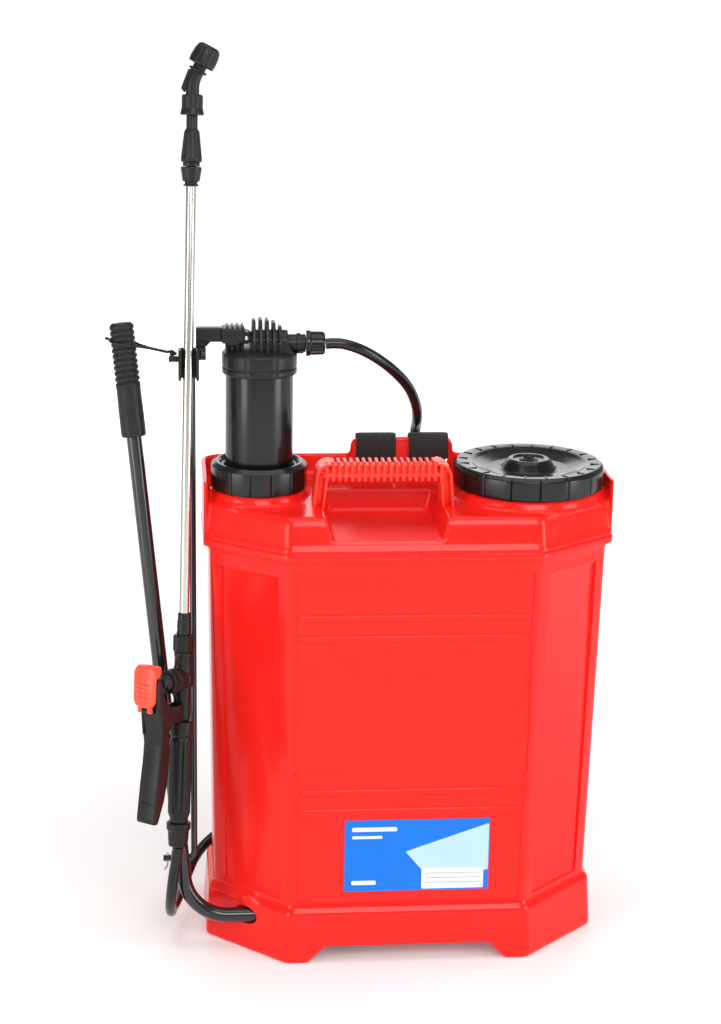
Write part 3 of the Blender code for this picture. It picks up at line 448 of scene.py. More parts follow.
def smooth_path(points, spacing):
    knots = [Vector(p) for p in points]
    knots = [2 * knots[0] - knots[1], *knots, 2 * knots[-1] - knots[-2]]
    path = []
    for a, b, c, d in zip(knots, knots[1:], knots[2:], knots[3:]):
        count = max(1, round((c - b).length / spacing))
        for i in range(count):
            t = i / count
            path.append(0.5 * (2 * b + (c - a) * t + (2 * a - 5 * b + 4 * c - d) * t**2
                               + (3 * b - a - 3 * c + d) * t**3))
    path.append(knots[-2])
    return path


def fillet(a, corner, b, radius, steps):
    a, corner, b = Vector(a), Vector(corner), Vector(b)
    u, v = (a - corner).normalized(), (b - corner).normalized()
    half = u.angle(v) / 2
    centre = corner + (u + v).normalized() * radius / math.sin(half)
    reach = radius / math.tan(half)
    first, last = corner + u * reach - centre, corner + v * reach - centre
    angle = first.angle(last)
    return [centre + (first * math.sin((1 - i / steps) * angle) + last * math.sin(i / steps * angle))
            / math.sin(angle) for i in range(steps + 1)]


def rounded(corners, steps):
    outline = []
    for i, (x, y, radius) in enumerate(corners):
        before, after = corners[i - 1], corners[(i + 1) % len(corners)]
        outline += [(p[0], p[1]) for p in fillet(before[:2], (x, y), after[:2], radius, steps)]
    return outline


# ------------------------------------------------------------------ hoses

HOSE_R = 5.0
HOSE_UPPER = (
    (-77.9, 7, 575.4), (-64, 7, 575.6), (-47.5, 9, 570.5), (-30.4, 15, 560.6), (-12.2, 27, 545.2),
    (3.5, 44, 526.1), (13.3, 63, 504.6), (16.8, 81, 486.4), (17.5, 93.5, 478.5), (17.2, 100, 466),
    (15.5, 101.5, 450), (12, 101.5, 434), (7, 100, 414), (3, 95, 397), (0.8, 88.5, 380),
)
HOSE_LOWER = (
    (0.6, 88.1, 379.2), (-3, 80.5, 362), (-10, 75.5, 340), (-22, 73.5, 308), (-38, 73.5, 268),
    (-58, 74, 226), (-80, 76, 184), (-100, 81, 146), (-121, 91.5, 111), (-145, 97.5, 80),
    (-168, 98.5, 58), (-186, 91, 45), (-197, 73, 38), (-204, 50, 33), (-209.5, 27, 30),
    (-214.6, 5, 27.6), (-219.2, -15, 27.8), (-221.2, -34, 33), (-222, -49, 46),
    (-221.2, -59, 63), (-219.4, -64.2, 82), (-216.8, -66.6, 100), (-215.0, -67.5, 115.0),
)


def hose(name, route, node):
    path = smooth_path(route, 6)
    obj = mesh_piece(name, pipe(path, HOSE_R, 28), hose_black, None, (node,))
    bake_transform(obj)


hose("hose_to_lug", HOSE_UPPER, "hose_upper")
hose("hose_to_gun", HOSE_LOWER, "hose_lower")


# ------------------------------------------------------------------ tank

TANK_BACK = 85.0
SKIRT_TOP = 52.0
LIP_Z = 398.0
DECK_Z = 433.0
RIM_TOP = 454.0
RECESS_HALF = 105.0
RECESS_DEPTH = 18.0
TANK_WALL = 3.0
LID_AT = Vector((113.5, 7.0, 0))
PUMP_AT = Vector((-138.0, 7.0, 0))
AXLE = Vector((-202, -50, 35.7))
POCKET = (-79.0, 27.0)
POCKET_FLOOR = 409.0
POCKET_RAISED = 3.6     # how far the photographed floor is above the CAD model's
STRAP_X = (-22.5, 28.0)
WEB_HALF = 19.0
SLOT_HALF = WEB_HALF + 0.7


def plan(front_half, side_half, front, side, z, inset=0.0, recess=0.0):
    """The tank's outline at a height: a chamfered front and a back with a shallow recess."""
    back = TANK_BACK - inset
    floor = back - max(recess, 0.4)
    half = RECESS_HALF
    corners = [
        (-front_half + inset * 0.5, front + inset, 12), (front_half - inset * 0.5, front + inset, 12),
        (side_half - inset, side + inset * 0.5, 10), (side_half - inset, back, 20 - inset),
        (half + 14, back, 6), (half, floor, 6), (-half, floor, 6), (-half - 14, back, 6),
        (-side_half + inset, back, 20 - inset), (-side_half + inset, side + inset * 0.5, 10),
    ]
    return [(x, y, z) for x, y in rounded(corners, 7)]


def body_corners(z):
    """The front and side corners of the body's outline at a height, on the right."""
    t = (z - SKIRT_TOP) / (LIP_Z - SKIRT_TOP)
    return (109.5 + 4 * t, -80.5 + t), (179.5 + 5 * t, -15 - 8 * t)


def body_plan(z, inset=0.0, recess=RECESS_DEPTH):
    (front_half, front), (side_half, side) = body_corners(z)
    return plan(front_half, side_half, front, side, z, inset, recess)


def front_y(z):
    return body_corners(z)[0][1]


def helper(shape):
    """A closed mesh object that only shapes another one."""
    bm = merge(shape)
    bmesh.ops.recalc_face_normals(bm, faces=bm.faces)
    mesh = bpy.data.meshes.new("helper")
    bm.to_mesh(mesh)
    bm.free()
    obj = bpy.data.objects.new("helper", mesh)
    bpy.context.scene.collection.objects.link(obj)
    return obj


def combine(base, others, operation):
    """Applies one Boolean of base with all the others, which are then removed."""
    tools = bpy.data.collections.new("tools")
    bpy.context.scene.collection.children.link(tools)
    for other in others:
        bpy.context.scene.collection.objects.unlink(other)
        tools.objects.link(other)
    mod = base.modifiers.new("combine", "BOOLEAN")
    mod.operation = operation
    mod.solver = "EXACT"
    mod.operand_type = "COLLECTION"
    mod.collection = tools
    apply_modifiers(base)
    for other in list(tools.objects):
        bpy.data.objects.remove(other, do_unlink=True)
    bpy.data.collections.remove(tools)
    return base


def apply_modifiers(obj):
    bpy.context.view_layer.update()
    graph = bpy.context.evaluated_depsgraph_get()
    mesh = bpy.data.meshes.new_from_object(obj.evaluated_get(graph))
    obj.modifiers.clear()
    old = obj.data
    obj.data = mesh
    bpy.data.meshes.remove(old)


def remesh(obj, voxel, smooth):
    """Fuses overlapping closed shapes into one moulded skin with soft edges."""
    mod = obj.modifiers.new("fuse", "REMESH")
    mod.mode = "VOXEL"
    mod.voxel_size = voxel
    mod.use_smooth_shade = True
    relax = obj.modifiers.new("relax", "SMOOTH")
    relax.factor = 0.5
    relax.iterations = smooth
    apply_modifiers(obj)


def pill(x0, x1, z, y, height, proud):
    """A horizontal bead on the front face with round ends."""
    rings = []
    for t in (0.0, 0.06, 0.16, 0.3, 0.5, 1.0):
        k = math.sqrt(1 - (1 - t) ** 2)
        rings.append((x0 + t * height * 0.5, k))
    rings += [(x1 - (x - x0), k) for x, k in reversed(rings)]
    out = []
    for x, k in rings:
        k = max(k, 0.04)
        out.append([(x, y - proud * k * math.cos(a), z + height / 2 * k * math.sin(a))
                    for a in (2 * math.pi * i / 20 for i in range(20))])
    return loft(out)


def panel_cutter(rows, depth):
    """A shallow recess over a flat face. rows are (left, right, z) points; both are (x, y)."""
    rings = []
    for (x0, y0), (x1, y1), z, k in rows:
        along = Vector((x1 - x0, y1 - y0, 0)).normalized()
        inward = Vector((-along.y, along.x, 0))
        a, b = Vector((x0, y0, z)) + along * depth * k, Vector((x1, y1, z)) - along * depth * k
        rings.append([a - along * depth * k - inward * 8, b + along * depth * k - inward * 8,
                      b + inward * depth * k, a + inward * depth * k])
    return loft(rings)


def pocket_cutter(grow, floor):
    low, high = POCKET[0] - grow, POCKET[1] + grow
    rings = []
    for z, flare in ((floor - grow, -4), (floor + 3, -2.5), (DECK_Z + 30, 9)):
        corners = [(low - flare, -112, 4), (high + flare, -112, 4),
                   (high + flare, 22 + grow + flare * 0.4, 9), (low - flare, 22 + grow + flare * 0.4, 9)]
        rings.append([(x, y, z) for x, y in rounded(corners, 5)])
    return loft(rings)


def chamfer_rows(side, z0, z1, near, far):
    """Rows of a recess along the slanted face between the front and a side."""
    rows = []
    for z, k in ((z0 - 1.5, 0.0), (z0 + 1.5, 1.0), (z1 - 1.5, 1.0), (z1 + 1.5, 0.0)):
        a, b = body_corners(z)
        p = tuple(a[i] + (b[i] - a[i]) * near for i in (0, 1))
        q = tuple(a[i] + (b[i] - a[i]) * far for i in (0, 1))
        rows.append((p, q, z, max(k, 0.02)) if side > 0 else ((-q[0], q[1]), (-p[0], p[1]), z, max(k, 0.02)))
    return rows


SKIN = 7.0              # how far the seen cavity stays inside the outer skin


def make_tank():
    body = helper(loft([
        plan(113.5, 186, -83.5, -17, 0),
        plan(114.6, 187.2, -84.6, -17.4, 1.5),
        plan(115, 187.6, -85, -17.5, 4),
        plan(112.5, 184.8, -84.7, -16, SKIRT_TOP - 3),
        plan(111.4, 183.6, -83.9, -15.6, SKIRT_TOP),
        plan(110.2, 180.6, -81.6, -15.0, SKIRT_TOP + 2.5),
        body_plan(SKIRT_TOP + 4.5, recess=0.4),
        body_plan(SKIRT_TOP + 12, recess=9),
        body_plan(SKIRT_TOP + 22),
        body_plan(LIP_Z - 26),
        body_plan(LIP_Z - 10, recess=0.4),
        plan(113.6, 186.6, -80.6, -24.4, LIP_Z - 4),
        plan(114.9, 188.2, -81.9, -25.8, LIP_Z + 1),
        plan(115.1, 188.0, -82, -26.0, LIP_Z + 6),
        plan(114.4, 186, -79.4, -24.6, LIP_Z + 10),
        plan(113.8, 183.6, -74.6, -20.8, DECK_Z - 6),
        plan(112.8, 182.2, -72.2, -19.4, DECK_Z - 1.5),
        plan(110.6, 180, -69.6, -17.6, DECK_Z),
    ]))
    combine(body, [helper(pocket_cutter(0, POCKET_FLOOR + POCKET_RAISED)),
                   helper(prism([(-98, -3), (-77, 17), (77, 17), (98, -3)], -95, 95, "Y", 0))], "DIFFERENCE")
    side, back = 189.6, TANK_BACK - 0.2
    rim = []
    for points, order in (((side, back, 20), 1), ((side - 4, back - 4, 16), -1)):
        x, y, r = points
        arc = fillet((-x, -24), (-x, y), (x, y), r, 6) + fillet((-x, y), (x, y), (x, -24), r, 6)
        start = -24 if order > 0 else -21
        line = [(-x, start), *[(p[0], p[1]) for p in arc], (x, start)]
        rim += line[::order]
    extras = [
        prism(rim, LIP_Z + 1, RIM_TOP - 0.6, "Z", 1.2),
        prism(soften([(-47, DECK_Z - 7), (-47, 469), (52, 469), (52, DECK_Z - 7)], 10, 6, closed=True),
              TANK_BACK - 6, TANK_BACK + 0.4, "Y", 1.5),
        moved(lathe([(0, 456), (64, 456), (64, 444), (68.6, 441), (70.5, 434), (76, DECK_Z - 1),
                     (0, DECK_Z - 2)],
                    96, radius=2), Matrix.Translation(LID_AT)),
        moved(lathe([(0, 451.5), (40, 451.5), (40, 441.5), (43.5, 440.8), (45, 434), (51, DECK_Z - 1),
                     (0, DECK_Z - 2)], 80, radius=2), Matrix.Translation(PUMP_AT)),
    ]
    for x in (-146, 146):
        extras.append(block((x - 1, -47, 412), (x + 1, -42, 431), 0.9))
    # the swelling over the lever's axle on the left chamfer
    swell = [(23 * math.cos(a), 3.2 * math.sin(a)) for a in (math.pi / 2 * k / 8 for k in range(9))]
    extras.append(moved(lathe([(0, -8), (23, -8), *swell, (0, 3.2)], 40, radius=0.1),
                        frame_along((-150, -47.5, 38), (-0.67, -0.74, 0)) @ Matrix.Scale(0.85, 4, (0, 1, 0))))
    whole = bmesh.new()
    whole.from_mesh(body.data)
    whole = merge(whole, *extras)
    whole.to_mesh(body.data)
    whole.free()
    remesh(body, TANK_VOXEL, 2)
    lip = helper(loft([plan(113.9, 186.9, -81.6, -24.9, LIP_Z - 4.1),
                       plan(115.9, 189.7, -83.7, -26.8, LIP_Z - 3.4),
                       plan(116, 190, -84, -27, LIP_Z - 2.7), plan(116, 190, -84, -27, LIP_Z + 2.5),
                       plan(115.9, 189.7, -83.6, -26.8, LIP_Z + 3.1),
                       plan(115, 188, -82, -25.9, LIP_Z + 3.5)]))
    pip = helper(rod_between((-1.5, -82.6, 397), (-1.5, -82.4, 403.4), 2.6, 20, 1.2))
    combine(body, [lip, pip], "UNION")
    front_rows = []
    for z, k in ((57, 0.05), (61, 1), (383.6, 1), (385.4, 0.05)):
        half = 105.5 + 5 * (z - SKIRT_TOP) / 346
        front_rows.append(((-half, front_y(z)), (half, front_y(z)), z, k))
    front = helper(panel_cutter(front_rows, 1.6))
    combine(front, [helper(pill(-half, half, z, front_y(z) + 1.8, tall, 2.2)) for half, z, tall in (
        (106.5, 339.8, 7.6), (106.5, 320.2, 7.6), (103.5, 170.4, 7.4), (103.5, 151.2, 7.4))], "DIFFERENCE")
    panel_rows = [((-109, front_y(z) + 1.5), (109, front_y(z) + 1.5), z, k)
                  for z, k in ((189, 0.05), (191.4, 1), (301, 1), (303.4, 0.05))]
    cutters = [front, helper(panel_cutter(panel_rows, 0.8))]
    for side in (-1, 1):
        cutters.append(helper(panel_cutter(chamfer_rows(side, 62, 376, 0.13, 0.87), 1.8)))
    inner = helper(loft([
        body_plan(SKIRT_TOP + 4, SKIN + 1, recess=0.4),
        body_plan(SKIRT_TOP + 22, SKIN),
        body_plan(LIP_Z - 26, SKIN),
        body_plan(LIP_Z + 8, SKIN, recess=0.4),
        plan(113.5, 183, -73.5, -20, DECK_Z - TANK_WALL, 8),
    ]))
    combine(inner, [helper(pocket_cutter(SKIN, POCKET_FLOOR + POCKET_RAISED))], "DIFFERENCE")
    slots = [block((x - SLOT_HALF, TANK_BACK - 9, 443.5), (x + SLOT_HALF, TANK_BACK + 2, 451.5), 1.5)
             for x in STRAP_X]
    mouths = [
        helper(loft([plan(112, 184, -82, -16, -1, 4.5), plan(110, 182, -82, -16, SKIRT_TOP - 5, 5.0)])),
        helper(moved(lathe([(0, 60), (58, 60), (58, 0), (0, 0)], 72, radius=0.1),
                     Matrix.Translation(LID_AT + Vector((0, 0, DECK_Z - 30))))),
        helper(moved(lathe([(0, 60), (36.5, 60), (36.5, 0), (0, 0)], 64, radius=0.1),
                     Matrix.Translation(PUMP_AT + Vector((0, 0, DECK_Z - 30))))),
        helper(rod_between(AXLE, AXLE + Vector((110, 0, 0)), 9, 32, 0.1)),
        *[helper(s) for s in slots],
    ]
    combine(body, [*cutters, inner, *mouths], "DIFFERENCE")
    return body


TANK_VOXEL = 1.9
HANDLE_VOXEL = 0.75


def finish_tank():
    body = finish_piece(make_tank(), "tank", [tank_red, pocket_red], "sprayer",
                        ("tank_shell",),
                        sharp=50)
    mesh = body.data
    top = (POCKET_FLOOR + POCKET_RAISED + 0.8) * MM
    left, right = (world((x, 0, 0)).x for x in POCKET)
    rough = [p.normal.z > 0.9 and top - 2.5 * MM < p.center.z < top and left < p.center.x < right
             and p.center.y < 0.028 for p in mesh.polygons]
    mesh.polygons.foreach_set("material_index", [int(r) for r in rough])


finish_tank()


# ------------------------------------------------------------------ carry handle and label

HANDLE_X = (POCKET[0] - 11, POCKET[1] + 11)
HANDLE_Y = (-37.0, -9.0)
HANDLE_TOP = 473.4


def leg_path(side, inset):
    """One end of the handle's arch seen from the front, moved in by inset."""
    x0, top, s = HANDLE_X[side], HANDLE_TOP - inset, 1 - 2 * side
    arc = fillet((x0 + s * inset, 436), (x0 + s * (2.5 + inset), top), (x0 + s * 60, top), 13 - inset * 0.7,
                 8)
    return [(x0 + s * (inset - 0.8), DECK_Z - 1.5), *[(p[0], p[1]) for p in arc], (x0 + s * 15, top)]


SLATS = 19


def make_handle():
    y0, y1 = HANDLE_Y
    shapes = []
    for side in (0, 1):
        for near, far, low, high in ((0, 2.3, y0, y1), (8.4, 10.6, y0 + 0.6, y1 - 1),
                                     (0, 10.6, y0 + 10, y1 - 5)):
            outline = leg_path(side, near) + leg_path(side, far)[::-1]
            shapes.append(prism(outline, low, high, "Y", 0))
    first, last = HANDLE_X[0] + 11.6, HANDLE_X[1] - 11.6
    profile = soften([(y0 + 0.2, 456.6), (y0 + 2.6, 456.2), (y0 + 5.4, 461.5), (y1 - 6, 462.6),
                      (y1 - 1.2, 458.6),
                      (y1 + 0.4, 460), (y1 + 0.4, HANDLE_TOP - 3), (y1 - 3.6, HANDLE_TOP + 0.3),
                      (y0 + 6.5, HANDLE_TOP + 0.3), (y0 + 1.2, HANDLE_TOP - 2.6),
                      (y0 - 0.6, HANDLE_TOP - 7.5)],
                     2.0, 3, closed=True)
    for i in range(SLATS):
        x = first + (last - first) * i / (SLATS - 1)
        shapes.append(prism(profile, x - 1.45, x + 1.45, "X", 0))
    core = soften([(y0 + 4.5, 462), (y1 - 4, 462), (y1 - 4, HANDLE_TOP - 4), (y0 + 8, HANDLE_TOP - 4),
                   (y0 + 4.5, HANDLE_TOP - 8)], 2, 3, closed=True)
    shapes += [prism(core, HANDLE_X[0] + 4, HANDLE_X[1] - 4, "X", 0),
               block((HANDLE_X[0] + 8, y0 + 0.6, 461.2), (HANDLE_X[1] - 8, y0 + 3.4, 463.4), 0)]
    bar = helper(merge(*shapes))
    remesh(bar, HANDLE_VOXEL, 1)
    finish_piece(bar, "handle", [handle_red], "sprayer", ("carry_handle",))


LABEL_X = (-60.5, 75.5)
LABEL_Z = (70.8, 142.6)


def label_point(u, v, lift):
    z = LABEL_Z[0] + v * (LABEL_Z[1] - LABEL_Z[0])
    return (LABEL_X[0] + u * (LABEL_X[1] - LABEL_X[0]), front_y(z) + 1.4 - lift, z)


def film(name, corners, lift, thick, material, replaces=()):
    """One printed area of the sticker, from corners across (u) and up (v) it."""
    outline = rounded([(u * 136, v * 72, 1.4) for u, v in corners], 3)
    bm = bmesh.new()
    rows = [[bm.verts.new(label_point(u / 136, v / 72, height)) for u, v in outline]
            for height in (lift, lift + thick)]
    bm.faces.new(rows[0])
    bm.faces.new(rows[1])
    for i in range(len(outline)):
        j = (i + 1) % len(outline)
        bm.faces.new((rows[0][i], rows[0][j], rows[1][j], rows[1][i]))
    bmesh.ops.recalc_face_normals(bm, faces=bm.faces)
    mesh_piece(name, bm, material, "sprayer", replaces, sharp=30)


def make_label():
    film("label", [(0, 0), (1, 0), (1, 1), (0, 1)], 0.02, 0.22, film_blue, ("front_label",))
    film("label_light", [(0.42, 0.55), (0.545, 0.27), (0.995, 0.27), (0.995, 0.93)], 0.24, 0.08, film_pale)
    film("label_panel", [(0.535, 0.02), (0.965, 0.02), (0.965, 0.31), (0.535, 0.31)], 0.32, 0.06, film_white)
    rules = [block(label_point(u0, v, 0.44), Vector(label_point(u1, v, 0.36)) + Vector((0, 0, 0.35)), 0)
             for u0, u1, v in ((0.56, 0.94, 0.235), (0.56, 0.94, 0.17), (0.56, 0.94, 0.105))]
    mesh_piece("label_rules", merge(*rules), film_ink, "sprayer")
    for i, (u0, u1, v0, v1) in enumerate(((0.05, 0.36, 0.84, 0.90), (0.05, 0.26, 0.74, 0.78),
                                          (0.05, 0.22, 0.09, 0.15))):
        film(f"label_mark_{i}", [(u0, v0), (u1, v0), (u1, v1), (u0, v1)], 0.24, 0.08, film_white)


make_handle()
make_label()


# ------------------------------------------------------------------ filler lid

LID_R = 70.3
LID_TOP = 464.4
LID_BASE = 442.8


def facets(count, depth, low, high, limit):
    """A radius that dips between raised panels round a nut, for z between low and high."""
    def shape(r, z, a):
        if r < limit or not low < z < high:
            return r
        t = (a * count / (2 * math.pi)) % 1.0
        edge = min(t, 1 - t) * 2 * math.pi / count * r
        flat = r * math.cos(math.pi / count) / math.cos((t - 0.5) * 2 * math.pi / count)
        return r - depth * max(0.0, 1 - edge / 1.5) - (r - flat) * 0.35
    return shape


def make_lid():
    at_lid = Matrix.Translation(LID_AT)
    lid = moved(lathe([
        (0, 465.4), (13.8, 465.4), (14.8, 467.2), (18.2, 467.2), (20.4, 465.2), (25.2, 458.0),
        (28.4, 456.9), (38, 457.6),
        (50.5, 461.4), (53.8, 463.2), (56, 463.7), (66.5, LID_TOP), (LID_R, LID_TOP - 3), (LID_R, 452),
        (LID_R, LID_BASE + 1.5), (LID_R - 1.2, LID_BASE), (66.2, LID_BASE), (66.2, 459.6), (55, 459.6),
        (49, 458.4),
        (38, 455), (24, 454.4), (21, 455.5), (16, 461), (0, 461),
    ], 320, radius=1.0, shape=facets(16, 1.5, LID_BASE + 0.2, LID_TOP - 1.6, LID_R - 1.5)), at_lid)
    ticks = []
    for i in range(20):
        a = 2 * math.pi * (i + 0.3) / 20
        tick = block((57, -0.7, LID_TOP - 2), (65.4, 0.7, LID_TOP + 0.35), 0.35)
        ticks.append(moved(tick, at_lid @ Matrix.Rotation(a, 4, "Z")))
    mesh_piece("lid", merge(lid, *ticks), black_gloss, "lid", ("lid_cap",), sharp=28)
    knob = moved(lathe([(0, 471.0), (1.8, 470.8), (2.6, 469.2), (3.0, 467.8), (5.6, 467.3), (6.4, 466.6),
                        (8.8, 466.3),
                        (8.8, 465.2), (0, 465.2)], 48, radius=0.4), at_lid)
    arms = [moved(block((2.0, -0.7, 466.8), (5.6, 0.7, 469.8 - 0.5 * (i % 2)), 0.3),
                  at_lid @ Matrix.Rotation(2 * math.pi * i / 3 + 0.4, 4, "Z")) for i in range(3)]
    mesh_piece("lid_vent", merge(knob, *arms), black_satin, "lid", ("lid_breather",))
    gasket = lathe([(60.6, 459.2), (65.6, 459.2), (65.6, 458.3), (60.6, 458.3)], 96, closed=True, radius=0.3)
    mesh_piece("lid_seal_ring", moved(gasket, at_lid), rubber, "lid_seal", ("lid_gasket",))
    basket = helper(lathe([(0, 399), (50.5, 399), (54.2, 457.2), (55, 457.9), (63.4, 457.9), (63.4, 456.4),
                           (56.2, 456.4), (52.9, 397), (0, 397)], 96, radius=0.8))
    slots = []
    for row, (z0, z1) in enumerate(((404, 417), (420, 433), (436, 449))):
        for i in range(6):
            slots.append(helper(moved(block((-70, -1.6, z0), (70, 1.6, z1), 0),
                                      Matrix.Rotation(math.pi * (i + row * 0.5) / 6, 4, "Z"))))
    for i in range(-3, 4):
        reach = math.sqrt(44**2 - (i * 11) ** 2)
        slots.append(helper(block((i * 11 - 1.6, -reach, 390), (i * 11 + 1.6, reach, 405), 0)))
    combine(basket, slots, "DIFFERENCE")
    finish_piece(basket, "basket", [natural], "basket", ("filler_basket",), at_lid,
                 sharp=30)


make_lid()


# ------------------------------------------------------------------ pump

ARM_Y = 7.0
OUTLET_Z = 576.0


def make_pump():
    at_pump = Matrix.Translation(PUMP_AT)
    nut = lathe([(32.4, 462.8), (34.6, 463), (35.6, 464.8), (37.4, 466.9), (39.8, 466.9), (41.2, 465.6),
                 (44.3, 463.4),
                 (44.3, 443), (43.2, 442), (40.8, 442), (40.8, 455.3), (32.4, 455.3)], 280, closed=True,
                 radius=0.6,
                shape=facets(14, 1.5, 442.3, 463.2, 43.0))
    mesh_piece("ring_nut", moved(nut, at_pump), black_gloss, "sprayer", ("pump_ring_nut",),
               sharp=28)
    washer = lathe([(36.9, 452.9), (39.5, 452.9), (39.5, 451.9), (36.9, 451.9)], 80, closed=True, radius=0.3)
    mesh_piece("pump_seal", moved(washer, at_pump), rubber, "sprayer", ("pump_gasket",))
    chamber = lathe([(28, 561.9), (31, 561.9), (31, 441), (16, 434), (16, 250.2), (12, 250.2), (12, 437),
                     (28, 443)], 128, closed=True, radius=1.0)
    mesh_piece("pressure_chamber", moved(chamber, at_pump), black_gloss, "pump",
               ("air_chamber",))
    cap = lathe([(0, 573.4), (12, 573.2), (26, 571.4), (31.5, 569.6), (34.2, 568), (34.2, 556.6),
                 (33.2, 555.4),
                 (34.2, 554.2), (34.2, 550), (33.4, 549.1), (31.5, 549.1), (31.4, 562.4), (0, 562.4)], 128,
                radius=1.2, shape=lambda r, z, a: r - 0.5 * (r > 33.8 and (a * 24 / math.pi) % 1.0 < 0.12))
    shapes = [moved(cap, at_pump)]
    for x, top, half in ((-143.6, 598.4, 20), (-137.6, 598.9, 22.5), (-131.6, 598.4, 23), (-125.6, 596.4, 22),
                         (-119.8, 592.5, 20)):
        low, high = ARM_Y - half, ARM_Y + half
        outline = soften([(low, 567), (high, 567), (high - 1.5, 580), (high - 7, top - 4), (high - 13, top),
                          (low + 13, top), (low + 7, top - 4), (low + 1.5, 580)], 4, 4, closed=True)
        shapes.append(prism(outline, x - 1.55, x + 1.55, "X", 0.6))
    base = soften([(-146.8, 568), (-146.8, 579.5), (-117, 579.5), (-112, 577), (-106.8, 568)], 1.5, 3,
                  closed=True)
    shapes.append(prism(base, ARM_Y - 17, ARM_Y + 17, "Y", 1.4))
    for x in (-168, -163.2, -158.4, -153.6):
        outline = soften([(-4, 566), (18, 566), (17, 578), (-3, 578)], 1.5, 3, closed=True)
        shapes.append(prism(outline, x - 1.15, x + 1.15, "X", 0.4))
    shapes.append(block((-167, 2, 566), (-154, 12, 576), 0.8))
    shapes += [rod_between((-146, ARM_Y, OUTLET_Z + 1), (-112.5, ARM_Y, OUTLET_Z + 1), 11.5, 48, 1.5),
               rod_between((-120, ARM_Y, OUTLET_Z), (-96.5, ARM_Y, OUTLET_Z), 8.3, 48, 0.8),
               rod_between((-104.5, ARM_Y, OUTLET_Z), (-101, ARM_Y, OUTLET_Z), 9.4, 48, 0.6),
               block((-112, ARM_Y - 1.5, OUTLET_Z - 9.5), (-98, ARM_Y + 1.5, OUTLET_Z - 2), 0.6)]
    mesh_piece("chamber_top", merge(*shapes), black_satin, "pump", ("chamber_head",), sharp=35)
    ribs = lathe([(5.3, 17.3), (9.6, 17.3), (10.6, 15.6), (10.9, 4.4), (11.9, 3.7), (11.9, 0.4), (11.2, 0),
                  (5.3, 0)], 144, closed=True, radius=0.6,
                 shape=lambda r, z, a: (
                     r - (0.8 if r > 10.2 and 4.2 < z < 15.8 and (a * 6 / math.pi) % 1.0 < 0.3 else 0)))
    mesh_piece("outlet_nut", moved(ribs, frame_along((-96, ARM_Y, OUTLET_Z), (1, 0, 0.0001))), black_gloss,
               "pump",
               ("pump_hose_nut",), sharp=35)
    cylinder = lathe([(33.5, 455), (40.2, 455), (40.2, 453.3), (36, 453.3), (36, 358), (26, 350), (26, 118),
                      (23.2, 118), (23.2, 352), (33.5, 360)], 96, closed=True, radius=1)
    mesh_piece("pump_barrel", moved(cylinder, at_pump), black_satin, "sprayer",
               ("pump_cylinder",))


make_pump()


def make_arm():
    """The arm that joins the pump head to the connecting rod, and the clip that it carries."""
    arm = [block((-172.4, -4.8, 577.6), (-151.6, 18.8, 591.2), 1.4),
           *[block((x - 1.1, -3.6, 589), (x + 1.1, 17.6, 593.2), 0.7) for x in (-167.6, -162.9, -158.2,
                                                                                -153.6)],
           block((-195.8, 1.1, 578), (-168, 12.9, 590.8), 1.4),
           block((-195.8, 1.3, 562.2), (-187, 12.7, 582), 1.2),
           prism(soften([(-189, 580), (-180, 580), (-189, 571)], 0.6, 2, closed=True), 4.6, 9.4, "Y", 0.3),
           rod_between((-150.6, -2.8, 582.5), (-150.6, 16.8, 582.5), 5.4, 40, 0.7),
           block((-167.5, -5.0, 576.5), (-157, -4.4, 588.2), 0.2),
           block((-171.2, -5.0, 579.6), (-169.4, -4.5, 589.4), 0.2)]
    mesh_piece("rocker_arm", merge(*arm), black_satin, "pump", ("pump_arm",), sharp=35)
    pin = lathe([(0, 25), (1.6, 25), (2.2, 24.4), (2.2, 2.6), (1.6, 2), (0.7, 2), (0.5, 2.6), (0, 2.6)], 32,
                radius=0.2)
    mesh_piece("rocker_pin", moved(pin, frame_along((-150.5, -6, 582.5), (0.0001, 1, 0))), zinc, "pump",
               ("arm_pin",))
    clip = [block((-211.6, -4.4, 546.1), (-193.6, -1.3, 573.9), 0.7),
            block((-211.9, -17, 546.1), (-209.3, -3, 573.9), 1.0),
            block((-195.9, -17, 546.1), (-193.3, -3, 573.9), 1.0),
            block((-196, -4.2, 562.6), (-186.9, 0.7, 573.6), 0.7),
            block((-220.5, -6, 561.2), (-210.4, -2, 566.4), 1.0),
            rod_between((-217.6, -4, 565), (-217.6, -4, 572), 1.75, 24, 0.5)]
    mesh_piece("tube_clip", merge(*clip), black_satin, "pump", ("lance_clip",), sharp=35)
    head = lathe([(0, 2.1), (1.2, 2.3), (2.7, 1.2), (2.8, 0), (1.6, 0), (1.6, -11), (0, -11)], 40, radius=0.3)
    slot = block((-2.4, -0.35, 1.6), (2.4, 0.35, 2.5), 0)
    screw = helper(head)
    combine(screw, [helper(slot)], "DIFFERENCE")
    finish_piece(screw, "tube_clip_screw", [black_paint], "pump", ("clip_screw",),
                 frame_along((-189.9, -4.75, 568), (0.0001, -1, 0), 0.6), smooth=False)


make_arm()


# ------------------------------------------------------------------ lever, rod and keeper

LEVER_CORNER = Vector((-205.0, -50.0, 35.7))
LEVER_TIP = Vector((-262.9, 8.8, 594.5))
LEVER_DIR = (LEVER_TIP - LEVER_CORNER).normalized()
CRANK_Z = 93.1


def lever_point(z):
    return LEVER_CORNER.lerp(LEVER_TIP, (z - LEVER_CORNER.z) / (LEVER_TIP.z - LEVER_CORNER.z))


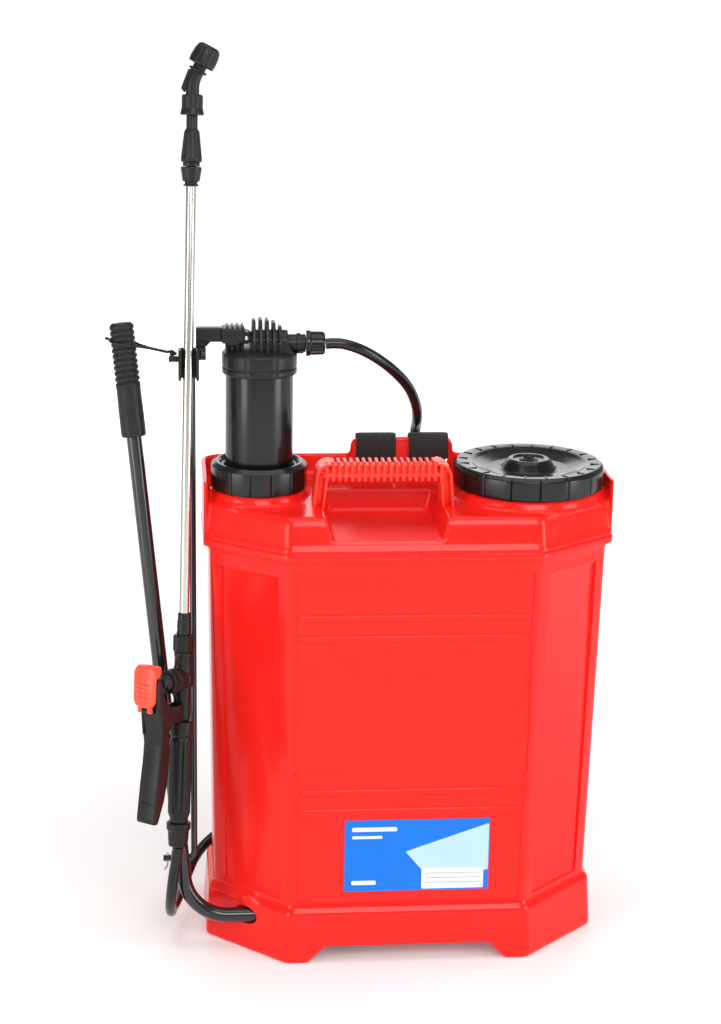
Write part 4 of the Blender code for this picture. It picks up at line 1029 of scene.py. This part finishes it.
def make_lever():
    start = Vector((-12.0, -50, 35.7))
    bend = fillet(start, LEVER_CORNER, LEVER_TIP, 42, 28)
    bar = pipe([start, start + Vector((-1, 0, 0)), *bend, LEVER_TIP - LEVER_DIR * 5.2],
               [6.2, 7, *[7] * len(bend), 7], 48)
    mesh_piece("lever", bar, black_paint, "lever", ("lever_bar",))
    length = (LEVER_TIP - LEVER_CORNER).length
    low = (492.0 - LEVER_CORNER.z) / LEVER_DIR.z
    profile = [(0, length), (8.6, length), (10.9, length - 2.2), (11.2, length - 5.4)]
    z = length - 6.2
    for i in range(10):
        profile += [(10.1, z), (10.1, z - 1.1), (11.25, z - 1.8), (11.25, z - 4.4)]
        z -= 5.2
    profile += [(10.9, z - 3), (11.2, z - 20), (11.3, low + 3), (10.9, low), (7.4, low), (7.4, length - 4.4),
                (0, length - 4.4)]
    grip = lathe(profile, 72, radius=0.7,
                 shape=lambda r, h, a: (
                     r - (0.35 if r > 10.8 and low + 6 < h < z - 6 and (a * 9 / math.pi) % 1.0 < 0.25 else 0)))
    mesh_piece("lever_handgrip", moved(grip, frame_along(LEVER_CORNER, LEVER_DIR)), rubber, "lever",
               ("lever_grip",), sharp=35)
    crank = lever_point(CRANK_Z)
    top, corner = Vector((-199.3, ARM_Y, 565)), Vector((-199.3, crank.y, crank.z))
    end = Vector((-228.5, crank.y, crank.z))
    rod = pipe([top, top + (corner - top) * 0.004, *fillet(top, corner, end, 6, 14),
                end + Vector((0.8, 0, 0)), end],
               [2.3, *[3.0] * 17, 2.4], 28)
    mesh_piece("link_rod", rod, black_paint, "rod", ("connecting_rod",))


def make_keeper():
    """The loop round the stowed lever, with its hooked tail on the clip's stud."""
    centre = lever_point(577)
    stud = Vector((-217.6, -4.0, 569.3))
    reach = stud - centre
    span = reach.length
    ring = []
    for k in range(33):
        a = math.radians(24 + 312 * k / 32)
        ring.append((12.7 * math.cos(a), 12.7 * math.sin(a), 0))
    loop = [(24, 0.5, 0), (17.5, 2.6, 0), *ring, (17.5, -2.6, 0), (24, -0.5, 0)]
    tail = [(22.5, 0, 0), (26, 0, 0), (span - 6, 0, 0), (span - 3.7, 0.6, 0)]
    hook = [(span + 3.7 * math.cos(math.radians(a)), 3.7 * math.sin(math.radians(a)), 0) for a in range(165,
                                                                                                        -51,
                                                                                                        -12)]
    x_axis = reach.normalized()
    z_axis = (Vector((0, 0, 1)) - x_axis * x_axis.z).normalized()
    place = Matrix.Translation(centre) @ Matrix((x_axis, z_axis.cross(x_axis), z_axis)).transposed().to_4x4()

    def flat(points):
        verts, faces = pipe(smooth_path(points, 1.6), 1.0, 12)
        return [Vector((v[0], v[1], v[2] * 1.3)) for v in verts], faces
    nub = [(-13, 0, 0), (-15, 0, 0), (-17, 0, 0)]
    mesh_piece("lever_keeper", moved(merge(flat(loop), flat(tail + hook), flat(nub)), place), black_satin,
               "keeper",
               ("keeper_loop",))


make_lever()
make_keeper()


# ------------------------------------------------------------------ lance and nozzle

LANCE_FOOT = Vector((-208.3, -43.0, 309.0))
LANCE_DIR = Vector((7.6, 45.5, 359.5)).normalized()
GUN_TAIL = Vector((-214.9, -67.3, 115.8))
LANCE = frame_along(LANCE_FOOT, LANCE_DIR)
GUN = frame_along(LANCE_FOOT, LANCE_FOOT - GUN_TAIL, math.radians(50))
CAP_DIR = Vector((0.465, 0.08, 0.882)).normalized()
ELBOW_CORNER = 504.0


def fluted(count, depth, low, high, limit, duty=0.5):
    """Soft grooves along a round part between two heights."""
    def shape(r, z, a):
        if r < limit or not low <= z <= high:
            return r
        t = (a * count / (2 * math.pi)) % 1.0
        wave = max(0.0, math.sin(math.pi * min(1.0, t / duty))) if t < duty else 0.0
        ends = min(1.0, (z - low) / 2.5, (high - z) / 2.5)
        return r - depth * wave * max(0.0, ends)
    return shape


def along_z(low, high, step):
    """Heights for the plain stretch of a fluted part."""
    count = max(2, round((high - low) / step))
    return [low + (high - low) * i / count for i in range(count + 1)]


def make_lance():
    tube = lathe([(3.6, 418), (4.5, 418), (4.5, 2), (3.6, 2)], 48, closed=True, radius=0.2)
    mesh_piece("spray_tube", moved(tube, LANCE), stainless, "lance", ("lance_tube",))
    ferrule = lathe([(4.8, 26), (5.4, 26), (5.9, 24.5), (5.9, 19), (6.4, 18), (6.4, 9), (6.8, 8),
                     (6.8, 6.1), (4.8, 6.1)],
                    64, closed=True, radius=0.4)
    mesh_piece("tube_ferrule", moved(ferrule, LANCE), black_satin, "lance", ("gun_ferrule",))
    nut = lathe([(4.8, 429), (9.0, 429), (9.3, 428), (9.2, 426.4), (7.7, 416.8), (7.2, 416), (5.6, 415.8),
                 (5.6, 413.8), (6.9, 413.5), (6.9, 412), (4.8, 412)], 120, closed=True, radius=0.4,
                shape=fluted(12, 0.55, 416, 427.5, 7.3, 0.4))
    mesh_piece("tube_gland_nut", moved(nut, LANCE), black_satin, "lance", ("lance_gland_nut",))
    body = [(2.5, 477.5), (5, 477.5), (5, 462.4), (6.4, 460.6)]
    body += [(6.8 + (460 - z) * 2.6 / 24, z) for z in along_z(437, 459, 3)[::-1]]
    body += [(9.4, 436), (9.4, 433.8), (8.2, 433), (7.6, 432.4), (7.6, 429.3), (4.4, 429.3), (4.4, 419),
             (2.5, 419)]
    gland = lathe(body, 144, closed=True, radius=0.5, shape=fluted(10, 0.75, 437, 460, 6.5, 0.5))
    mesh_piece("tube_gland", moved(gland, LANCE), black_satin, "lance", ("lance_gland",))
    collar = lathe([(6.5, 492), (8.6, 492), (9.4, 491), (9.4, 480), (9.8, 478.6), (10.5, 475.6),
                    (10.5, 474.2),
                    (5.4, 474.2), (5.4, 477.8), (6.5, 478.4)], 144, closed=True, radius=0.4,
                   shape=fluted(14, 0.5, 479.4, 490.8, 9.0, 0.4))
    mesh_piece("elbow_ring", moved(collar, LANCE), black_satin, "lance", ("elbow_nut",))
    corner = LANCE_FOOT + LANCE_DIR * ELBOW_CORNER
    start, tip = LANCE_FOOT + LANCE_DIR * 478.6, corner + CAP_DIR * 20.8
    bend = fillet(start, corner, tip, 30, 14)
    flange = frame_along(corner, CAP_DIR)
    flange_ring = lathe([(0, 11.2), (7.6, 11.2), (8.5, 10.6), (8.5, 9.4), (7.6, 8.8), (0, 8.8)], 48,
                        radius=0.4)
    gusset = prism(soften([(-8.4, -9), (-4, -12), (-3, 10), (-6.4, 9)], 1.2, 3, closed=True), -1.2, 1.2,
                   "Y", 0.4)
    elbow = merge(pipe([start, *bend, tip], 6.0, 40), moved(flange_ring, flange),
                  moved(gusset, frame_along(corner, (LANCE_DIR + CAP_DIR) / 2)))
    mesh_piece("spray_elbow", elbow, black_satin, "elbow", ("nozzle_elbow",))
    cap = lathe([(0, 16.2), (3.2, 16.2), (4.2, 18.6), (8, 19), (10.4, 16.8), (11.6, 12), (12, 6),
                 (11.8, 1.2), (11.3, 0),
                 (9.4, 0), (8.4, 6.5), (0, 6.5)], 160, radius=0.7, shape=fluted(12, 0.7, 1.4, 15, 10.8, 0.4))
    nozzle = helper(cap)
    combine(nozzle, [helper(rod_between((0, 0, 0), (0, 0, 30), 0.7, 16, 0))], "DIFFERENCE")
    finish_piece(nozzle, "spray_cap", [black_satin], "nozzle", ("nozzle_cap",),
                 frame_along(corner + CAP_DIR * 15, CAP_DIR), sharp=35)


make_lance()


# ------------------------------------------------------------------ gun

VALVE_Z = -35.5           # the valve drum's centre, below the lance's foot
DRUM_END = -16.2


def make_gun():
    nut = lathe([(5.7, 5.6), (8.6, 5.6), (9.9, 4.2), (9.9, -8.6), (8.8, -10), (5.7, -10)], 180, closed=True,
                radius=0.5, shape=lambda r, z, a: (
                    min(r, 8.7 / math.cos((a % (math.pi / 3)) - math.pi / 6)) if r > 8.9 else r))
    mesh_piece("gun_top_nut", moved(nut, GUN), black_satin, "lance", ("gun_nut",), sharp=30)
    tube = lathe([(2.5, -10.4), (8.2, -10.4), (8.6, -11), (8.6, -13.6), (8.1, -15), (8.1, -24), (8.7, -25),
                  (8.7, -29),
                  (8.1, -30), (8.1, -72.8), (7.4, -74), (6, -74.3), (6, -171), (2.5, -171)], 72,
                  closed=True, radius=0.5)
    fork = soften([(-6, -57), (-27, -60), (-30.5, -64), (-30.5, -70), (-27, -73.4), (-6, -74)], 2, 3,
                  closed=True)
    drum = moved(lathe([(6.2, 0.2), (10.6, 0.2), (11.4, 1.2), (11.4, 8.4), (10.4, 9.4), (10.4, 13),
                        (11, 14), (11, 19.4),
                        (0, 19.6), (0, 11.7), (6.2, 11.7)], 96, closed=True, radius=0.4),
                 frame_along((DRUM_END, 0, VALVE_Z), (1, 0, 0.0001)))
    rib = prism(soften([(-7, -15), (-14, -27), (-14, -47), (-7, -60)], 1.5, 3, closed=True), -1.3, 1.3, "Y",
                0.4)
    body = merge(tube, drum, prism(fork, -6.9, -4.1, "Y", 0.6), prism(fork, 4.1, 6.9, "Y", 0.6), rib)
    mesh_piece("valve_body", moved(body, GUN), black_satin, "lance", ("gun_body",), sharp=35)
    cap = moved(lathe([(2.4, 1.2), (5.9, 1.2), (5.9, 0), (10.8, -0.4), (11.1, -1.2), (11.1, -6.4),
                       (10.5, -7.4), (7.6, -7.8),
                       (6.6, -10.4), (5.2, -11.6), (4.4, -14.6), (2.4, -15)], 144, closed=True, radius=0.4,
                      shape=lambda r, z, a: (
                          r - (0.5 if r > 10.6 and -6.3 < z < -1.1 and (a * 15 / math.pi) % 1.0 < 0.3 else 0))),
                frame_along((DRUM_END, 0, VALVE_Z), (1, 0, 0.0001)))
    mesh_piece("valve_cover", moved(cap, GUN), black_satin, "lance", ("valve_cap",), sharp=35)
    stem = moved(lathe([(0, 0), (1.6, 0), (2, 0.4), (2, 29), (0, 29)], 24, radius=0.1),
                 frame_along((-40.4, 0, VALVE_Z), (1, 0, 0.0001)))
    mesh_piece("valve_rod", moved(stem, GUN), stainless, "stem",
               ("valve_stem", "valve_spring"))
    heights = along_z(-162, -93, 6)[::-1]
    profile = [(6.3, -75), (10.2, -75), (10.9, -75.9), (10.9, -87.4), (10.2, -88.6), (9.4, -89.4),
               (9.6, -91), *[(10.4, z) for z in heights], (9.6, -165),
               (8.6, -167), (8.6, -171.3), (6.3, -171.3)]
    grip = lathe(profile, 200, closed=True, radius=0.6, shape=fluted(10, 1.0, -162, -92, 10.0, 0.55))
    mesh_piece("gun_handgrip", moved(grip, GUN), black_satin, "lance", ("gun_grip",), sharp=40)
    tail = lathe([(5.3, -171.7), (10.6, -171.7), (11.3, -172.5), (11.3, -177.8), (10.4, -178.8),
                  (9.9, -180), (9.0, -193.4),
                  (8.2, -194.4), (5.3, -194.4)], 160, closed=True, radius=0.5,
                  shape=fluted(12, 0.7, -193, -180.5, 8.9, 0.4))
    mesh_piece("hose_nut", moved(tail, GUN), black_satin, "lance", ("gun_hose_nut",), sharp=40)


def make_trigger():
    outer = [(-47, -58), (-44.5, -74), (-41.5, -90), (-43, -108), (-45.6, -126), (-47.8, -146), (-49.2, -159),
             (-48.4, -163)]
    inner = [(-42, -163.4), (-39, -156), (-33.8, -143), (-30.4, -129), (-28, -112), (-27.4, -95), (-29, -83),
             (-34, -62)]
    shell = helper(prism(soften(outer + inner, 2.4, 4, closed=True), -9.6, 9.6, "Y", 1.4))
    hollow = prism(soften([(-44, -66), (-41.6, -78), (-38.8, -91), (-40.2, -109), (-43, -127), (-45, -146),
                           (-46.2, -158), (-34, -172), (-18, -150), (-16, -95), (-24, -64)], 1, 2,
                           closed=True), -7, 7, "Y", 0)
    combine(shell, [helper(hollow)], "DIFFERENCE")
    web = soften([(-44.2, -66), (-47.2, -60), (-47.6, -32), (-46, -29), (-43.2, -29.4), (-38, -52),
                  (-24, -61.4),
                  (-19.8, -64.5), (-19.8, -69), (-24, -72.4), (-38, -80)], 2, 4, closed=True)
    cheek = soften([(-44.5, -82), (-47.4, -58), (-47.6, -31), (-45, -27.6), (-41, -29.5), (-36, -47),
                    (-27, -56.6),
                    (-19.6, -62), (-19.2, -70), (-25, -75.4), (-33, -84)], 2, 4, closed=True)
    ribs = [prism(web, -3.5, 3.5, "Y", 0.7), block((-49, -3, -61), (-45.5, 3, -53), 0.6),
            block((-53.8, -2.9, -59.2), (-46, 2.9, -55), 1.0),
            prism(cheek, -9.5, -7.2, "Y", 0.7), prism(cheek, 7.2, 9.5, "Y", 0.7)]
    for z, x in ((-98, -34), (-114, -35.5), (-130, -37.5), (-145, -41)):
        ribs.append(block((x - 7.5, -7.4, z - 0.8), (x + 2.5, 7.4, z + 0.8), 0.2))
    bm = merge(*ribs)
    bm.from_mesh(shell.data)
    bpy.data.objects.remove(shell, do_unlink=True)
    mesh_piece("trigger", moved(bm, GUN), black_satin, "trigger", ("trigger_lever",), sharp=35)
    pin = moved(lathe([(0, 17), (1.5, 17), (2, 16.4), (2, 0.6), (1.5, 0), (0, 0)], 24, radius=0.2),
                frame_along((-25, -8.5, -66.7), (0.0001, 1, 0)))
    mesh_piece("trigger_pivot", moved(pin, GUN), zinc, "lance", ("trigger_pin",))
    plate = soften([(-12, -54), (12, -54), (12, -14.6), (-12, -14.6)], 9.5, 10, closed=True)
    hood = soften([(-55, -27), (-44.5, -27), (-41.4, -24), (-41.4, -16.5), (-55, -14.8)], 2.4, 4, closed=True)
    hinge = []
    for y in (-7.5, 3.3):
        hinge += [rod_between((-52.5, y, -57), (-52.5, y + 4.2, -57), 1.9, 24, 0.3),
                  block((-54.3, y, -57.2), (-51.2, y + 4.2, -51.5), 0.4)]
    lock = merge(*hinge, prism(plate, -56, -51.0, "X", 1.8), prism(hood, -8.8, 8.8, "Y", 2.4),
                 *[block((-56.0, -8, z - 0.6), (-55.4, 8, z + 0.6), 0.2) for z in (-44, -40, -36, -32)])
    mesh_piece("lock_cover", moved(lock, GUN), lock_red, "lock", ("trigger_lock",), sharp=40)


make_gun()
make_trigger()


# ------------------------------------------------------------------ straps

PAD_HALF = 27.0
TAIL_HALF = 12.5
WEB_THICK = 1.7
PAD_LOW, PAD_HIGH = 222.0, 414.0
LOW_X = 80.0
BUCKLE_DOWN = 0.88       # how far along its slant the strap meets its buckle


def strap_route(side, top_x):
    wrap = [(88.8, 447.5), (82, 447.5), (77.2, 449.5), (75.8, 453), (75.8, 464), (77.6, 470),
            (82, 472.6), (87.6, 470.6), (91, 464), (92, 450), (92, 436)]
    route = [(top_x, y, z) for y, z in wrap]
    low_x = side * LOW_X
    for z, t in ((424, 0.04), (410, 0.22), (395, 0.36), (330, 0.6), (245, 0.8), (228, 0.83), (216, 0.85),
                 (190, BUCKLE_DOWN), (70, 1), (50, 1), (32, 1)):
        route.append((top_x + (low_x - top_x) * t, 92.2 if z > 100 else 89.2, z))
    return route


def strap_half(p):
    """Half the strap's width at a point: narrow at its tail, wide where it meets the pad."""
    if p.z > 427:
        return WEB_HALF
    if p.y < 91 or p.z <= 226:
        return TAIL_HALF
    return min(PAD_HALF, WEB_HALF + (PAD_HALF - WEB_HALF) * (427 - p.z) / 19)


def pad_fullness(z):
    """How full the pad is, from 0 at its rounded ends to 1."""
    ends = min(1.0, (z - PAD_LOW) / 16, (PAD_HIGH - z) / 16)
    return math.sqrt(max(0.0, 1 - (1 - ends) ** 2))


def band(path, half, cross=13):
    """A flat band of webbing along a path; half(point) is half its width there."""
    rings = []
    for i, p in enumerate(path):
        run = (path[min(i + 1, len(path) - 1)] - path[max(i - 1, 0)])
        run = Vector((run.x * 0.3, run.y, run.z)).normalized()
        across = Vector((1, 0, 0))
        across = (across - run * across.dot(run)).normalized()
        normal = run.cross(across)
        width = across * half(p)
        steps = [-1 + 2 * k / (cross - 1) for k in range(cross)]
        ring = []
        for side, row in ((1, steps), (-1, steps[::-1])):
            for u in row:
                thick = WEB_THICK * (1 - 0.55 * max(0, abs(u) - 0.8) * 5)
                ring.append(p + width * u + normal * side * thick / 2)
        rings.append(ring)
    return loft(rings)


def make_strap(label, side, top_x):
    path = smooth_path(strap_route(side, top_x), 3)
    path = [Vector((p.x, min(p.y, 92.6) if p.z > 100 else p.y, p.z)) for p in path]
    upper = [p for p in path if p.z > 400 or p.y < 85]
    mesh_piece(f"strap_web_{label}", band(upper, strap_half), webbing, "sprayer",
               (f"strap_{label}",))
    lower = [p for p in path if p.z < 236 and p.y > 85]
    mesh_piece(f"strap_tail_{label}", band(lower, lambda p: TAIL_HALF), webbing, "sprayer")
    # the sewn pad: crowned between its bound edges, with two channels sewn along it
    pad = [p for p in path if PAD_LOW < p.z < PAD_HIGH]
    rings = []
    count = 28
    for p in pad:
        ends = pad_fullness(p.z)
        half = 15 + (PAD_HALF - 15) * ends
        ring = []
        for s in (1, -1):
            for k in range(count + 1):
                u = (-1 + 2 * k / count) * s
                crown = (1 - abs(u) ** 5) * 3.4 * ends
                seam = sum(math.exp(-((u - c) * half / 1.3) ** 2) for c in (-0.42, 0.42))
                stitch = math.exp(-((abs(u) - 0.86) * half / 0.9) ** 2)
                quilt = 0.35 * math.cos(2 * math.pi * p.z / 48)
                h = 1.0 + crown * (1 - 0.45 * seam) * (1 + 0.06 * quilt) - 0.5 * stitch * ends
                ring.append(p + Vector((u * half, s * h, 0)))
        rings.append(ring)
    piece = mesh_piece(f"strap_pad_{label}", loft(rings), pad_cloth, "sprayer")
    for edge in (-1, 1):
        line = []
        for p in pad[1:-1]:
            half = 15 + (PAD_HALF - 15) * pad_fullness(p.z)
            line.append(p + Vector((edge * (half - 0.9), 0, 0)))
        mesh_piece(f"strap_piping_{label}_{'near' if edge < 0 else 'far'}", pipe(line, 1.5, 12), webbing,
                   "sprayer")
    x = top_x + (side * LOW_X - top_x) * BUCKLE_DOWN
    frame_outer = soften([(x - 17, 184), (x + 17, 184), (x + 17, 204), (x - 17, 204)], 3, 5, closed=True)
    buckle = helper(prism(frame_outer, 88.5, 95.9, "Y", 0.9))
    combine(buckle, [helper(block((x - 14.2, 90.6, 170), (x + 14.2, 93.8, 220), 0)),
                     helper(block((x - 12.5, 80, 188), (x + 12.5, 91, 192.4), 0)),
                     helper(block((x - 12.5, 93, 195.6), (x + 12.5, 99, 200), 0))], "DIFFERENCE")
    x = side * LOW_X
    anchor_outer = soften([(x - 18, 28), (x + 18, 28), (x + 18, 46), (x - 18, 46)], 3, 5, closed=True)
    anchor = helper(prism(anchor_outer, TANK_BACK + 0.3, 92.4, "Y", 0.9))
    combine(anchor, [helper(block((x - 14.5, 87.4, 20), (x + 14.5, 91, 60), 0))], "DIFFERENCE")
    for obj, name in ((buckle, "buckle"), (anchor, "anchor")):
        finish_piece(obj, f"{name}_{label}", [black_satin], "sprayer",
                     (f"strap_{name}_{label}",), sharp=35)


for label, side, top_x in (("left", -1, STRAP_X[0]), ("right", 1, STRAP_X[1])):
    make_strap(label, side, top_x)


# ------------------------------------------------------------------ pieces kept from the CAD model

KEPT = {
    "foot_valve_body": black_satin, "suction_strainer": natural, "piston": natural, "piston_cup": rubber,
    "inlet_ball": stainless, "outlet_ball": stainless, "axle_bush_left": black_satin,
    "axle_bush_right": black_satin, "axle_retainer": zinc, "rod_cotter": zinc, "rod_washer": zinc,
}
for node, material in KEPT.items():
    mesh = frame["nodes"][node].data
    mesh.materials.clear()
    mesh.materials.append(material)


# ------------------------------------------------------------------ floor and light

def make_stage():
    half = 60.0
    mesh = bpy.data.meshes.new("floor")
    mesh.from_pydata([(-half, -half, 0), (half, -half, 0), (half, half, 0), (-half, half, 0)], [],
                     [(0, 1, 2, 3)])
    mesh.materials.append(floor_white)
    obj = bpy.data.objects.new("floor", mesh)
    bpy.context.scene.collection.objects.link(obj)


def area_light(name, place, target, size, power):
    data = bpy.data.lights.new(name, "AREA")
    data.shape = "RECTANGLE"
    data.size, data.size_y = size
    data.energy = power
    obj = bpy.data.objects.new(name, data)
    bpy.context.scene.collection.objects.link(obj)
    aim = Vector(target) - Vector(place)
    obj.matrix_world = Matrix.Translation(place) @ aim.to_track_quat("-Z", "Y").to_matrix().to_4x4()


floor_white = look("floor_white", (0.9, 0.9, 0.9), 0.55, tone=0.01, rough_span=0.04, grain=0.05,
                   grain_scale=300)
floor_shader = floor_white.node_tree.nodes["Principled BSDF"]
floor_shader.inputs["Emission Color"].default_value = (1.0, 1.0, 1.0, 1.0)
# the floor glows more away from the sprayer, so that it stays white where the lamps do not reach
floor_nodes = floor_white.node_tree.nodes
from_middle = floor_nodes.new("ShaderNodeVectorMath")
from_middle.operation = "LENGTH"
floor_place = floor_nodes.new("ShaderNodeTexCoord")
glow = floor_nodes.new("ShaderNodeMapRange")
glow.inputs["From Min"].default_value = 0.4
glow.inputs["From Max"].default_value = 3.0
glow.inputs["To Min"].default_value = 0.12
glow.inputs["To Max"].default_value = 0.76
floor_white.node_tree.links.new(floor_place.outputs["Object"], from_middle.inputs[0])
floor_white.node_tree.links.new(from_middle.outputs["Value"], glow.inputs["Value"])
floor_white.node_tree.links.new(glow.outputs["Result"], floor_shader.inputs["Emission Strength"])
make_stage()
backdrop = bpy.data.worlds.new("studio")
bpy.context.scene.world = backdrop
backdrop.use_nodes = True
sky = backdrop.node_tree.nodes["Background"]
sky.inputs["Color"].default_value = (1.0, 1.0, 1.0, 1.0)
# the sky is white to the camera and dimmer as a light
seen = backdrop.node_tree.nodes.new("ShaderNodeLightPath")
dimmed = backdrop.node_tree.nodes.new("ShaderNodeMapRange")
dimmed.inputs["To Min"].default_value = 0.32
dimmed.inputs["To Max"].default_value = 1.0
backdrop.node_tree.links.new(seen.outputs["Is Camera Ray"], dimmed.inputs["Value"])
backdrop.node_tree.links.new(dimmed.outputs["Result"], sky.inputs["Strength"])
bpy.context.scene.view_settings.view_transform = "Standard"
area_light("overhead", (0.0, -0.2, 2.6), (0, 0.1, 0.3), (2.6, 2.0), 30)
area_light("left_window", (-2.2, -1.5, 0.85), (0, 0, 0.4), (0.9, 1.7), 26)
area_light("right_window", (2.3, -1.2, 0.85), (0, 0, 0.4), (1.0, 1.7), 28)
area_light("front_sky", (0.3, -3.0, 2.3), (0, 0, 0.3), (1.9, 1.4), 52)
area_light("back_card", (0.2, 3.6, 1.5), (0, 0, 0.45), (3.6, 1.6), 34)
